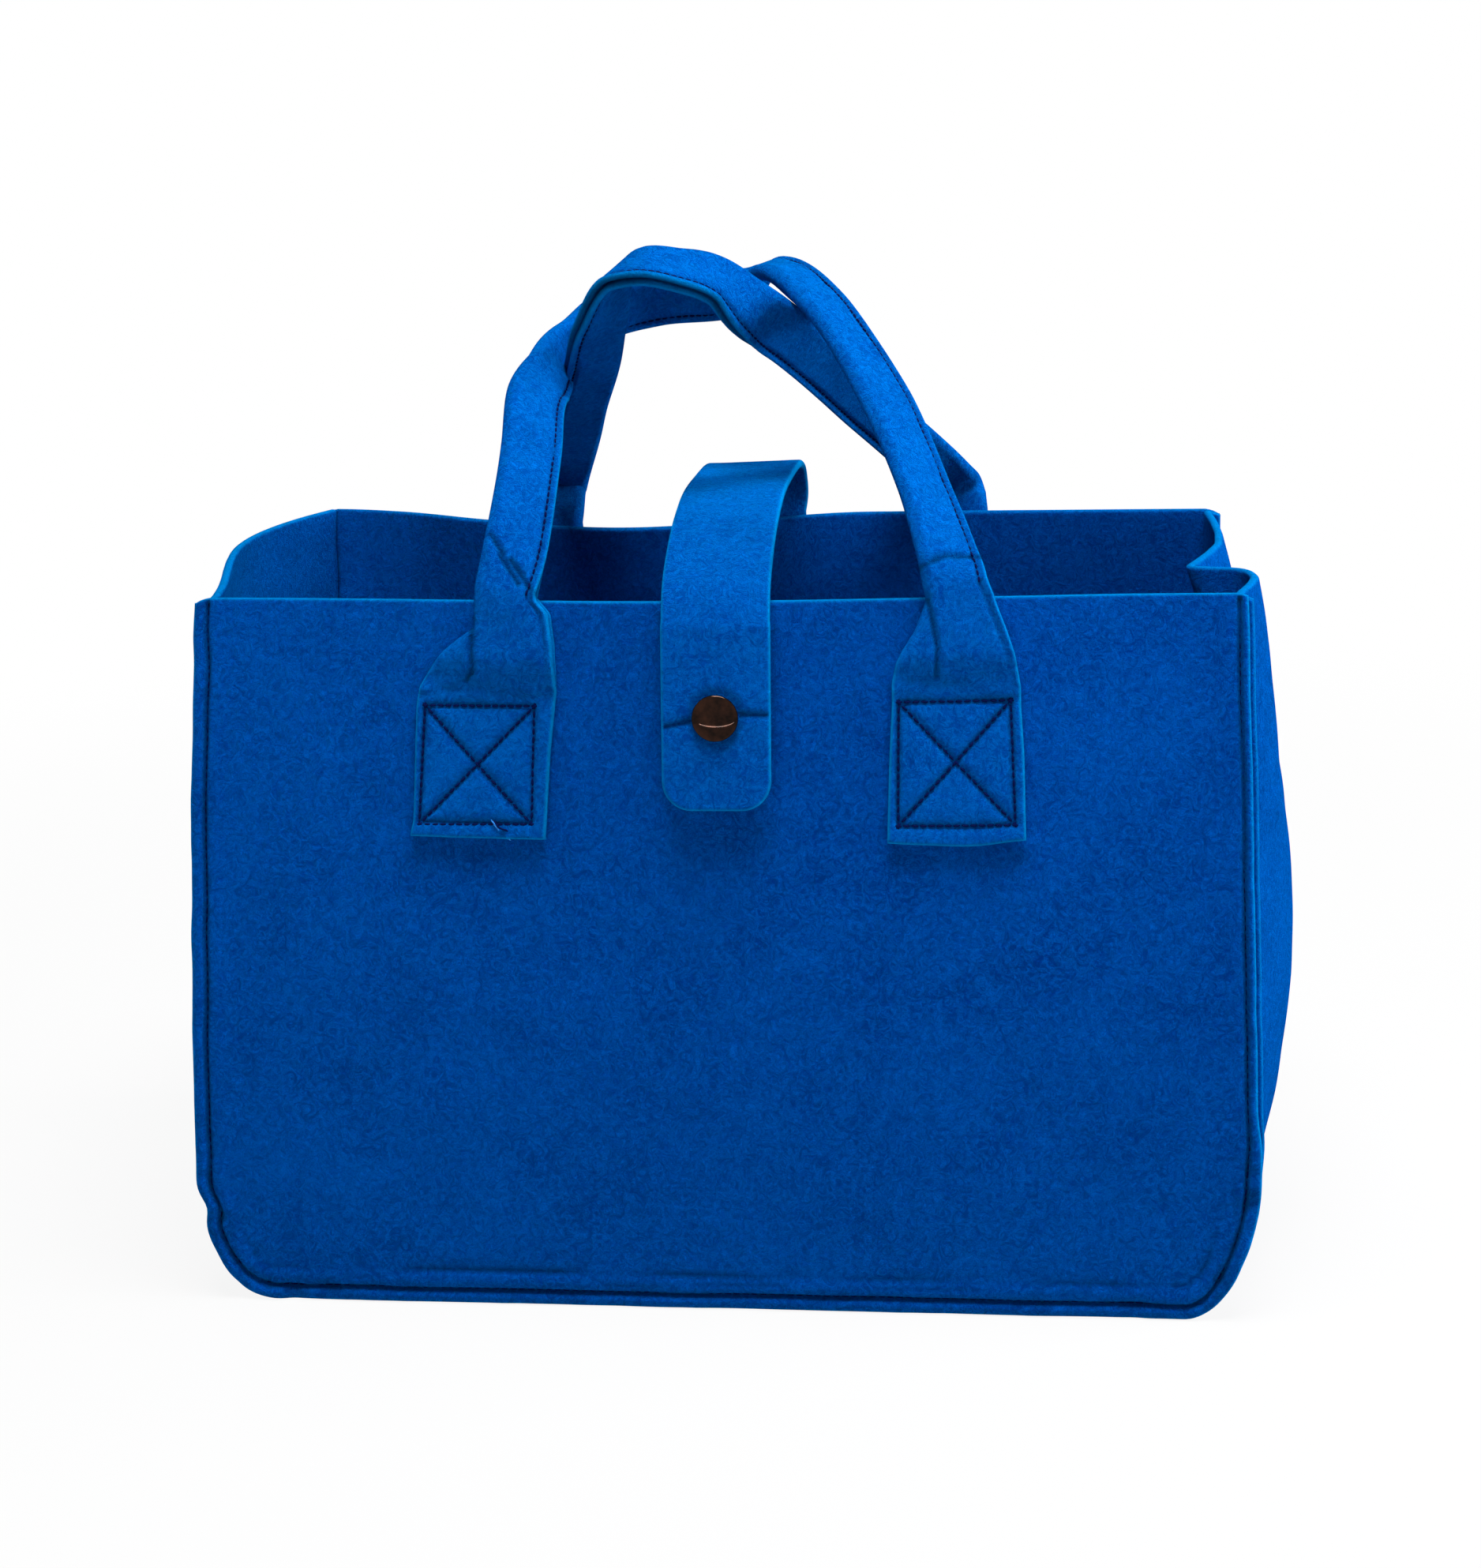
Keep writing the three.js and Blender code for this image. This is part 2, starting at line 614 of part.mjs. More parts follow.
function add(name, geometry, material) {
  const mesh = new THREE.Mesh(geometry, material);
  mesh.name = name;
  bag.add(mesh);
  return mesh;
}

add("front_panel", cut(panelGeometry(panels.front), snapHole()), felt(BLUE));
add("back_panel", panelGeometry(panels.back), felt(BLUE));
add("gusset", gussetGeometry(), felt(BLUE));
add("handle_front", handleGeometry(panels.front, FRONT_RUN, 1), felt(BRIGHT_BLUE));
add("handle_back", handleGeometry(panels.back, BACK_RUN, -1), felt(BRIGHT_BLUE));
add("closure_strap", cut(strapGeometry(), snapHole()), felt(BRIGHT_BLUE));

const snapPieces = {
  snap_cap: capProfile,
  snap_socket: socketProfile,
  snap_stud: studProfile,
  snap_post: postProfile,
};
for (const [name, profile] of Object.entries(snapPieces)) {
  const piece = add(name, turned(profile), metal(GUNMETAL));
  piece.quaternion.copy(snapTurn);
  piece.position.copy(snapFoot);
}

const tabSpan = TAB_TOP - TAB_BOTTOM - STITCH_INSET;
const threadSeat = LAYER + FELT / 2 + GAP;
for (const [where, panel] of Object.entries(panels))
  for (const [hand, side] of [["left", -1], ["right", 1]]) {
    const box = [TAB_BOTTOM + STITCH_INSET, TAB_WIDTH - 2 * STITCH_INSET, tabSpan, threadSeat];
    const stitch = boxStitch(panel, side * HANDLE_OFFSET, ...box);
    add(`thread_${where}_${hand}`, stitch, felt(NAVY));
  }
const strapBox = [
  BACK_HEIGHT - STRAP_SEWN + STITCH_INSET,
  STRAP_WIDTH - 2 * STITCH_INSET,
  STRAP_SEWN - 2 * STITCH_INSET,
  threadSeat,
];
add("thread_strap", boxStitch(panels.back, STRAP_MIDDLE, ...strapBox), felt(NAVY));

// The origin goes to the middle of the footprint, on the ground.
const box = new THREE.Box3().setFromObject(bag, true);
const middle = box.getCenter(vec(0, 0, 0));
bag.position.set(-middle.x, -middle.y, -box.min.z);

const part = new THREE.Group();
part.add(bag);
export default part;
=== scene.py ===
"""A felt shopping bag: panels, gusset, folded handles, strap and press stud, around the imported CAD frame."""
import math

import bpy
import numpy as np
from mathutils import Matrix, Vector


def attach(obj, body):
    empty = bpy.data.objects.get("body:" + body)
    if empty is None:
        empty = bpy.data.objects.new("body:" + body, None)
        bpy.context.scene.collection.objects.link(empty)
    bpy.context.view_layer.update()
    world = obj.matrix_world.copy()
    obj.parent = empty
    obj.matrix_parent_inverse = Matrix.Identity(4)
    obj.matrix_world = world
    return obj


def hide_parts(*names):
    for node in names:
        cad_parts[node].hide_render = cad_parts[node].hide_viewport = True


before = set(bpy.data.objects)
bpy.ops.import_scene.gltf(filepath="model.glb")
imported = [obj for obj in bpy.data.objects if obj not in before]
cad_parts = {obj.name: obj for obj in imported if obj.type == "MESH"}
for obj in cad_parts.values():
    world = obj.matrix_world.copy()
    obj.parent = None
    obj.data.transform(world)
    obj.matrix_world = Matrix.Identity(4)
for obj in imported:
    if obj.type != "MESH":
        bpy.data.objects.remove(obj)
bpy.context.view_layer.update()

# The shapes are worked out in millimetres from the middle of the bag's base, and moved here.
MM = 0.001
TO_FRAME = np.array([-2.306, -9.491, 0.004])

# Felt and seams
FELT = 3.0
GAP = 0.4
FLANGE = 5.0
LAYER = FELT + GAP
SEWN_LAYER = FELT + 0.05  # from middle to middle where a seam draws two layers together
CUT_ROUND = 1.1  # rounding of a cut felt edge
LOWEST = 0.05  # the felt's lowest points stay this far over the ground

# Panels: widths at the base and the rims, and how far the rims lean in
BASE_WIDTH = 357.0
BASE_DEPTH = 190.0
FRONT_HEIGHT, FRONT_RIM = 236.0, 348.0
BACK_HEIGHT, BACK_RIM = 239.0, 354.0
CORNER_WIDTH = 27.0
LEFT_CORNER_HEIGHT = 43.0
RIGHT_CORNER_HEIGHT = 60.0
RIGHT_TRIM = 2.0  # the front panel's right edge stops short of the gusset's
FRONT_LEAN, FRONT_BOW = 28, 10
BACK_CORNER_OUT, BACK_DIP, BACK_DIP_SINK = 19, 20, 2.5
CALM_REACH = 35  # round the press stud the front doesn't sway
SWAY_ZONE = (8, 45)  # distances from the sewn edge where the sway sets in
FINE_SWAY = (0.3, 28, 5)  # height, size and seed
TUCK, TUCK_AT = 2.4, 32  # where the front's left edge is drawn in

# Handles, strap and press stud
HANDLE_OFFSET = 78.4
TAB_WIDTH = 45.0
TAB_BOTTOM = 158.0
FOLDED_WIDTH = 20.5
FOLDED_THICKNESS = 6.6
LEG_OFFSET = 66.0
HANDLE_RISE = 100.0
EDGE_SEAM = 2.7  # the sewn line's distance from a folded handle's open edge
STITCH_INSET = 4.0
STRAP_WIDTH = 35.0
STRAP_MIDDLE = 2.0
STRAP_CORNER = 9.5
STRAP_BOTTOM = 169.6
STRAP_SEWN = 40.0
STRAP_RISE = 27.0
STRAP_OFFSET = 6.9
SNAP_HEIGHT = 199.3

# Distances from a cut edge at which a sheet has its points
EDGE_STEPS = [
    0, 0.12, 0.35, 0.7, 1.15, 1.8, 2.5, 3.2, 3.9, 4.5, 5, 5.5, 6.1, 6.9, 7.9, 9.1, 10.5, 12.2, 14.2, 16.5,
]
FAR = 99.0  # stands for no edge nearby


def xyz(x, y, z):
    """Places in one array; any of the three may be one number for all."""
    x, y, z = np.broadcast_arrays(np.asarray(x, float), y, z)
    return np.stack([x, y, z], -1)


def unit(v):
    return v / np.maximum(np.linalg.norm(v, axis=-1, keepdims=True), 1e-12)


def hump(x, centre, reach):
    """1 at the centre, and down to 0 at the reach on both sides."""
    return np.cos(np.pi / 2 * np.clip((x - centre) / reach, -1, 1)) ** 2


def ease(x, low, high):
    """From 0 at low to 1 at high, with soft ends."""
    t = np.clip((np.asarray(x, float) - low) / (high - low), 0, 1)
    return t * t * (3 - 2 * t)


def ridge(x, centre, width):
    """1 on a line, and less with the distance from it."""
    return np.exp(-(((x - centre) / width) ** 2))


def pressed_line(distance, at, press):
    """A line that is pressed into the felt, with its depth and width; given a strength in place of the depth,
    it also gives painted shade along a line.
    """
    depth, width = press
    return depth * ridge(distance, at, width)


def through(x, knots, soft):
    """A line through knots with its corners softened."""
    a, b = np.array(knots, float).T
    return sum(np.interp(x + soft * s, a, b) for s in (-1, -0.5, 0, 0.5, 1)) / 5


# Mixers of the random field
SEED_STEP = 31.7
CELL_MIX = (374761393, 668265263, 1442695041)
LAST_MIX = 1274126177
WORD = 0xFFFFFFFF
HALF_WORD = 0xFFFF


def drift(points, size, seed):
    """A smooth random field from about -1 to 1, with features of a size in millimetres."""
    q = np.asarray(points, float) / size + SEED_STEP * seed
    cell = np.floor(q).astype(np.int64)
    f = q - cell
    f = f * f * (3 - 2 * f)
    total = 0
    for i in (0, 1):
        for j in (0, 1):
            for k in (0, 1):
                c = cell + (i, j, k)
                n = (c[..., 0] * CELL_MIX[0] + c[..., 1] * CELL_MIX[1] + c[..., 2] * CELL_MIX[2]) & WORD
                n = ((n ^ (n >> 13)) * LAST_MIX) & WORD
                value = ((n ^ (n >> 16)) & HALF_WORD) / (HALF_WORD / 2) - 1
                w = np.abs(1 - i - f[..., 0]) * np.abs(1 - j - f[..., 1]) * np.abs(1 - k - f[..., 2])
                total = total + value * w
    return total


def waves(place, *layers):
    """Several random fields together, each with its height, size and seed."""
    return sum(height * drift(place, size, seed) for height, size, seed in layers)


def edge_round(distance):
    """Share of the felt's thickness at a distance from its cut edge."""
    t = 1 - np.clip(distance / CUT_ROUND, 0, 1)
    return np.sqrt(1 - 0.9 * t**2)


def edge_highlight_share(distance, bright=1.0):
    """How much of the painted highlight along a cut edge shows at a distance from it."""
    return bright * (1 - ease(distance, 0.25, 1.0))


RIM_DROP = 0.9
# The seam allowance's ripple: where it is strong, how strong, and its fields
RIPPLE_UP, RIPPLE_ACROSS = (75, 30), (110, 150)
RIPPLE_ALL_ROUND, RIPPLE_IN_CORNERS = 0.16, 0.5
SMALL_RIPPLE, LONG_RIPPLE = (1, 5.5, 12), (0.25, 24, 14)


class Panel:
    """The mid-surface of a panel, and its outline."""

    def __init__(self, height, rim_width, out, y_at):
        self.height, self.rim_width, self.out, self.y_at = height, rim_width, out, y_at

    def at(self, x, up):
        x, up = np.broadcast_arrays(np.asarray(x, float), np.asarray(up, float))
        y, drop = self.y_at(x, up)
        quiet = 1 - np.exp(-((x - STRAP_MIDDLE) ** 2 + (up - SNAP_HEIGHT) ** 2) / CALM_REACH**2)
        inside = ease(self.distance(x, up), *SWAY_ZONE) * quiet
        sway = waves(xyz(x, 0, up), (1.1, 85, 3 + self.out), FINE_SWAY)
        return xyz(x, y + self.out * sway * inside, up - drop)

    def normal(self, x, up):
        across = self.at(x + 0.5, up) - self.at(x - 0.5, up)
        along = self.at(x, up + 0.5) - self.at(x, up - 0.5)
        return unit(np.cross(along, across) * self.out)

    def over(self, x, up, offset):
        return self.at(x, up) + self.normal(x, up) * np.asarray(offset)[..., None]

    def straight_half(self, up):
        return (BASE_WIDTH + (self.rim_width - BASE_WIDTH) * up / self.height) / 2

    def corner_height(self, side):
        return np.where(side < 0, LEFT_CORNER_HEIGHT, RIGHT_CORNER_HEIGHT)

    def nick(self, side, up):
        """How far the sewn edge is drawn in from the straight cut."""
        loose = 0.35 * (1 + drift(xyz(side * 50, 0, up), 11, 8)) * ease(up, 4, 20)
        pulled = TUCK * ridge(up, TUCK_AT, 5) if self.out < 0 else 0
        return loose + np.where(side < 0, pulled, 0)

    def edge_x(self, side, up):
        below = np.clip(1 - up / self.corner_height(side), 0, 1)
        round_off = CORNER_WIDTH * (1 - np.sqrt(1 - below**2))
        return side * (self.straight_half(up) - round_off - self.nick(side, up))

    def distance(self, x, up):
        """Distance from the sewn outline, without the rim."""
        side = np.where(x < 0, -1.0, 1.0)
        high = self.corner_height(side)
        half = self.straight_half(up) - self.nick(side, up)
        px = (np.abs(x) - (half - CORNER_WIDTH)) / CORNER_WIDTH
        pz = (high - up) / high
        rho = np.maximum(np.hypot(px, pz), 1e-6)
        slope = np.hypot(px / CORNER_WIDTH, pz / high) / rho
        corner = (1 - rho) / np.maximum(slope, 1e-6)
        return np.where((px > 0) & (pz > 0), corner, np.minimum(half - np.abs(x), up))

    def trim(self, side, up):
        return RIGHT_TRIM * ease(up, 40, 75) * (side > 0) * (self.out < 0)

    def flap_drop(self, x, up):
        """The rim sinks where the seam allowance leaves the panel."""
        beyond = np.clip((FLANGE + 0.5 - self.distance(x, up)) / FLANGE, 0, 1)
        at_rim = np.clip(up / self.height, 0, 1) ** 30
        return RIM_DROP * (beyond + beyond**3) * at_rim

    def ripple(self, x, up):
        """The seam allowance ripples, most of all round the corners."""
        corner = ease(up, *RIPPLE_UP) * ease(np.abs(x), *RIPPLE_ACROSS)
        grain = xyz(x, 0, up)
        wave = waves(grain, SMALL_RIPPLE) * (RIPPLE_ALL_ROUND + RIPPLE_IN_CORNERS * corner)
        return (wave + waves(grain, LONG_RIPPLE)) * ease(self.distance(x, up), 6, 1.5)


def front_y(x, up):
    lean = FRONT_LEAN - FRONT_BOW * hump(x, 0, FRONT_RIM / 2)
    return -BASE_DEPTH / 2 + (up / FRONT_HEIGHT) ** 2 * lean, 0 * x


def back_y(x, up):
    rise = (up / BACK_HEIGHT) ** 2
    corner = hump(x, -BACK_RIM / 2, 0.2 * BACK_RIM)
    dip = hump(x, -0.14 * BACK_RIM, 0.27 * BACK_RIM)
    return BASE_DEPTH / 2 + rise * (BACK_CORNER_OUT * corner - BACK_DIP * dip), rise * BACK_DIP_SINK * dip


front = Panel(FRONT_HEIGHT, FRONT_RIM, -1, front_y)
back = Panel(BACK_HEIGHT, BACK_RIM, 1, back_y)

# Materials


class Wire:
    """A socket that can stand in sums and products."""

    def __init__(self, finish, socket):
        self.finish, self.socket = finish, socket

    def math(self, operation, a, b=0.0):
        return self.finish.node("ShaderNodeMath", {"operation": operation}, {0: a, 1: b})

    def __add__(self, other):
        return self.math("ADD", self, other)

    def __sub__(self, other):
        return self.math("SUBTRACT", self, other)

    def __rsub__(self, other):
        return self.math("SUBTRACT", other, self)

    def __mul__(self, other):
        return self.math("MULTIPLY", self, other)

    def __abs__(self):
        return self.math("ABSOLUTE", self)

    __radd__, __rmul__ = __add__, __mul__


class Finish:
    """A material or the world, and the one way to add a node to it."""

    def __init__(self, owner):
        self.owner = owner
        owner.use_nodes = True
        self.tree = owner.node_tree
        self.tree.nodes.clear()

    def node(self, kind, settings=None, inputs=None, out=0):
        made = self.tree.nodes.new(kind)
        for name, value in (settings or {}).items():
            if name == "stops":
                ramp = made.color_ramp.elements
                while len(ramp) < len(value):
                    ramp.new(0.5)
                for element, (place, colour) in zip(ramp, value):
                    element.position, element.color = place, colour
            else:
                setattr(made, name, value)
        for name, value in (inputs or {}).items():
            socket = made.inputs[name]
            if isinstance(value, Wire):
                self.tree.links.new(value.socket, socket)
            else:
                socket.default_value = value
        return Wire(self, made.outputs[out])

    def noise(self, place, scale, detail=4.0, rough=0.55, twist=0.0):
        """Random blots: their number in a metre, their detail, its roughness and their twist."""
        sizes = {"Vector": place, "Scale": scale, "Detail": detail, "Roughness": rough, "Distortion": twist}
        return self.node("ShaderNodeTexNoise", {}, sizes)

    def ramp(self, value, low, high):
        stops = [(low, (0, 0, 0, 1)), (high, (1, 1, 1, 1))]
        return self.node("ShaderNodeValToRGB", {"stops": stops}, {"Fac": value})

    def mix(self, factor, a, b):
        return self.node("ShaderNodeMix", {"data_type": "RGBA"}, {0: factor, 6: a, 7: b}, out=2)

    def surface(self, shader, kind="ShaderNodeOutputMaterial"):
        end = self.tree.nodes.new(kind)
        self.tree.links.new(shader.socket, end.inputs["Surface"])


def colour(red, green, blue):
    def linear(c):
        c /= 255
        return c / 12.92 if c <= 0.04045 else ((c + 0.055) / 1.055) ** 2.4

    return (linear(red), linear(green), linear(blue), 1.0)


def felt_finish(name, deep, middle, light, edge_highlight_colour):
    """Needle felt: clumps and fine fibres, with a painted highlight along its cut edges and painted shade in
    its seams, creases and grooves.
    """
    f = Finish(bpy.data.materials.new(name))
    place = f.node("ShaderNodeTexCoord", out=3)
    clouds = f.noise(place, scale=30.0, detail=6.0, rough=0.7, twist=0.5)
    clumps = f.noise(place, scale=250.0, detail=5.0, rough=0.7, twist=2.4)
    fibres = 1 - abs(f.noise(place, scale=470.0, detail=3.0, rough=0.6, twist=3.4) - 0.5) * 8.0
    strands = 1 - abs(f.noise(place, scale=950.0, detail=2.0, rough=0.5, twist=2.6) - 0.5) * 7.0
    fuzz = f.noise(place, scale=2100.0, detail=3.0, rough=0.7)
    tone = clouds * 0.22 + clumps * 0.6 + fuzz * 0.18
    fibre_light = f.ramp(fibres, 0.1, 1.0) * f.ramp(clumps, 0.4, 0.6) * 0.9
    strand_light = f.ramp(strands, 0.2, 1.0) * f.ramp(clouds, 0.35, 0.65) * 0.4
    # Shares of the painted highlight along cut edges and of the painted shade in seams, creases, grooves and
    # dents
    edge = f.node("ShaderNodeAttribute", {"attribute_name": "cut"}, out=2)
    painted_shade_share = f.node("ShaderNodeAttribute", {"attribute_name": "pressed"}, out=2)
    base = f.mix(f.ramp(tone, 0.42, 0.57), deep, middle)
    base = f.mix(fibre_light, base, light)
    base = f.mix(strand_light, base, light)
    # Lighter towards the painted highlight colour along cut edges, darker towards the painted shade colour in
    # seams and creases
    base = f.mix(edge * (clumps * 0.7 + 0.5), base, edge_highlight_colour)
    base = f.mix(painted_shade_share * 0.75, base, PAINTED_SHADE_COLOUR)
    height = clumps * 1.1 + fibres * 0.22 + strands * 0.1 + fuzz * 0.3
    bump = f.node("ShaderNodeBump", {}, {"Strength": 0.9, "Distance": 0.0016, "Height": height})
    looks = {
        "Base Color": base,
        "Roughness": fuzz * 0.2 + 0.78,
        "Specular IOR Level": 0.0,
        "Sheen Weight": 0.15,
        "Sheen Roughness": 0.45,
        "Sheen Tint": (0.0, 0.62, 0.8, 1.0),
        "Normal": bump,
    }
    f.surface(f.node("ShaderNodeBsdfPrincipled", {}, looks))
    return f.owner


def thread_finish(name, dark, light):
    """Spun sewing thread, with the twist of its strands."""
    f = Finish(bpy.data.materials.new(name))
    place = f.node("ShaderNodeTexCoord", out=3)
    twist = f.node(
        "ShaderNodeTexWave",
        {"bands_direction": "DIAGONAL"},
        {"Vector": place, "Scale": 900.0, "Distortion": 1.5, "Detail": 1.0},
        out=1,
    )
    base = f.mix(twist, dark, light)
    bump = f.node("ShaderNodeBump", {}, {"Strength": 0.5, "Distance": 0.0002, "Height": twist})
    looks = {"Base Color": base, "Roughness": twist * 0.15 + 0.6, "Specular IOR Level": 0.04, "Normal": bump}
    f.surface(f.node("ShaderNodeBsdfPrincipled", {}, looks))
    return f.owner


def metal_finish(name):
    """Polished dark gunmetal with a brown cast and fine handling marks."""
    f = Finish(bpy.data.materials.new(name))
    place = f.node("ShaderNodeTexCoord", out=3)
    cast = f.noise(place, 260.0, 3.0)
    marks = f.noise(place, 2600.0, 4.0, 0.7)
    base = f.mix(f.ramp(cast, 0.35, 0.65), (0.007, 0.003, 0.002, 1), (0.03, 0.011, 0.006, 1))
    looks = {
        "Base Color": base,
        "Metallic": 1.0,
        "Roughness": marks * 0.06 + 0.03,
        "Coat Weight": 0.12,
        "Coat Roughness": 0.03,
    }
    f.surface(f.node("ShaderNodeBsdfPrincipled", {}, looks))
    return f.owner


# Colour of the painted shade in seams, creases, grooves and dents
PAINTED_SHADE_COLOUR = colour(0, 22, 78)
FELT_SHADES = {  # in the hollows, between, on the fibres, and the painted highlight along a cut edge
    "body_felt": [(0, 50, 144), (0, 65, 170), (0, 98, 208), (0, 140, 225)],
    "trim_felt": [(0, 60, 160), (0, 79, 186), (0, 112, 216), (0, 145, 228)],
}
body_felt, trim_felt = (
    felt_finish(name, *(colour(*shade) for shade in shades)) for name, shades in FELT_SHADES.items()
)
navy_thread = thread_finish("navy_thread", (0.0, 0.002, 0.03, 1), (0.0, 0.006, 0.07, 1))
pale_thread = thread_finish("pale_thread", colour(10, 90, 190), colour(60, 150, 230))
gunmetal = metal_finish("gunmetal")

# Mesh making


def link(name, data):
    """A new object in the scene, at the origin."""
    made = bpy.data.objects.new(name, data)
    bpy.context.scene.collection.objects.link(made)
    return made


def place_on_bag(piece, node=None):
    """The bag is one body, so every piece rides on it."""
    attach(piece, "root")
    if node:
        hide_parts(node)


def signed_volume(points, faces):
    total = 0.0
    for sides in {len(f) for f in faces}:
        f = np.array([x for x in faces if len(x) == sides])
        for i in range(1, sides - 1):
            total += (points[f[:, 0]] * np.cross(points[f[:, i]], points[f[:, i + 1]])).sum()
    return total


def put(name, points, faces, finish, cut=None, pressed=None):
    """A smooth closed mesh from points in millimetres, facing outwards."""
    points = (np.asarray(points, float).reshape(-1, 3) + TO_FRAME) * MM
    faces = [tuple(int(i) for i in f) for f in faces]
    if signed_volume(points, faces) < 0:
        faces = [f[::-1] for f in faces]
    mesh = bpy.data.meshes.new(name)
    mesh.from_pydata(points.tolist(), [], faces)
    mesh.polygons.foreach_set("use_smooth", [True] * len(mesh.polygons))
    # Per-point shares of the painted highlight along cut edges and of the painted shade in seams, creases and
    # dents
    for key, values in (("cut", cut), ("pressed", pressed)):
        if values is not None:
            shares = mesh.attributes.new(key, "FLOAT", "POINT").data
            shares.foreach_set("value", np.clip(np.asarray(values, float).ravel(), 0, 1))
    mesh.materials.append(finish)
    mesh.update()
    return link(name, mesh)


def grid_faces(rows, cols, first=0, wrap=False):
    ids = np.arange(rows * cols).reshape(rows, cols) + first
    if wrap:
        ids = np.concatenate([ids, ids[:, :1]], 1)
    corners = [ids[:-1, :-1], ids[:-1, 1:], ids[1:, 1:], ids[1:, :-1]]
    return np.stack(corners, -1).reshape(-1, 4)


def sheet_solid(name, outer, inner, cut, finish, pressed):
    """A closed sheet between two grids of points."""
    rows, cols = outer.shape[:2]
    count = rows * cols
    ids = np.arange(count).reshape(rows, cols)
    loop = np.concatenate([ids[0], ids[1:, -1], ids[-1, -2::-1], ids[-2:0:-1, 0]])
    ahead = np.roll(loop, -1)
    sides = np.stack([ahead, loop, loop + count, ahead + count], -1)
    faces = np.concatenate([grid_faces(rows, cols), grid_faces(rows, cols, count)[:, ::-1], sides])
    points = np.concatenate([outer.reshape(-1, 3), inner.reshape(-1, 3)])
    twice = [np.concatenate([share.ravel(), share.ravel()]) for share in (cut, pressed)]
    return put(name, points, faces, finish, *twice)


def tube_solid(name, rings, cut, finish, pressed=None):
    """A closed body through rings of points, with a flat fan at each end."""
    rows, cols = rings.shape[:2]
    last = (rows - 1) * cols
    faces = grid_faces(rows, cols, 0, wrap=True).tolist()
    half = cols // 2
    for start, turned in ((0, True), (last, False)):
        for k in range(half - 1):
            quad = [start + k, start + k + 1, start + cols - 2 - k, start + cols - 1 - k]
            faces.append(quad[::-1] if turned else quad)
    return put(name, rings, faces, finish, cut, pressed)


def stations(low, high, step, fine_low=True, fine_high=True):
    """Places along a length, close together at its cut ends."""
    span = high - low
    fine = np.array([s for s in EDGE_STEPS if s < span / 2])
    start = fine if fine_low else fine[:1]
    stop = fine if fine_high else fine[:1]
    count = max(2, int(round((span - start[-1] - stop[-1]) / step)) + 1)
    middle = np.linspace(start[-1], span - stop[-1], count)[1:-1]
    return low + np.concatenate([start, middle, (span - stop)[::-1]])


# Front and back panel

PANEL_COLUMNS = 118
# Zones in which something sets in, from none to full
LOW_ZONE = (70, 20)  # heights
CORNER_UP, CORNER_ACROSS = (80, 28), (105, 150)
SPLIT_ZONE = (40, 70)
CUT_ZONE = (0.2, 2.2)  # distances from the cut edge
# Distances from the sewn outline: swells, creases along the bottom, and the gathers' middle and reach
SHOULDER, ALLOWANCE_MIDDLE = 8.2, 2.6
SECOND_LINE, THIRD_LINE = 12.6, 8.6
GATHERS_AT, GATHERS_REACH = 4.2, 4.5
# Depth and width of what is pressed in or swells there
SEAM_PRESS, SHOULDER_SWELL, ALLOWANCE_SWELL = (2.0, 0.7), (0.6, 2.6), (0.55, 1.7)
SECOND_PRESS, THIRD_PRESS, SPLIT_PRESS = (0.62, 0.9), (0.4, 0.7), (0.7, 0.5)
# Strength and width of the painted shade along the seam and the two creases
SEAM_DARK, SECOND_DARK, THIRD_DARK = (1, 0.75), (0.9, 0.6), (0.5, 0.5)
# Random fields: height, size and seed
SEAM_WANDER, SECOND_WANDER, THIRD_WANDER = (0.35, 16, 21), (1.6, 30, 23), (1.2, 18, 24)
SECOND_PATCHES, THIRD_PATCHES = (1, 26, 25), (1, 17, 26)
GATHERS = ((0.5, 3.6, 27), (0.6, 7.5, 28))
GATHERS_ALL_ROUND, GATHERS_IN_CORNERS, GATHERS_LOW = 0.12, 1.1, 0.16
# Strength of the painted highlight along the front's and the back's cut edges
FRONT_EDGE_HIGHLIGHT, BACK_EDGE_HIGHLIGHT = 0.85, 0.3


def panel_grid(panel):
    """Rows of places over a panel, close together at its edges."""
    fine = np.array(EDGE_STEPS)
    ups = np.concatenate([
        fine,
        np.arange(18.2, 62, 1.7),
        stations(62, panel.height, 2.6, fine_low=False)[1:-20],
        panel.height - fine[::-1],
    ])
    ups = np.unique(np.round(ups, 4))
    rows = []
    for up in ups:
        left = float(panel.edge_x(-1.0, up))
        right = float(panel.edge_x(1.0, up)) - float(panel.trim(1.0, up))
        middle = np.linspace(left + fine[-1], right - fine[-1], PANEL_COLUMNS)[1:-1]
        rows.append(np.concatenate([left + fine, middle, right - fine[::-1]]))
    x = np.array(rows)
    return x, np.broadcast_to(ups[:, None], x.shape)


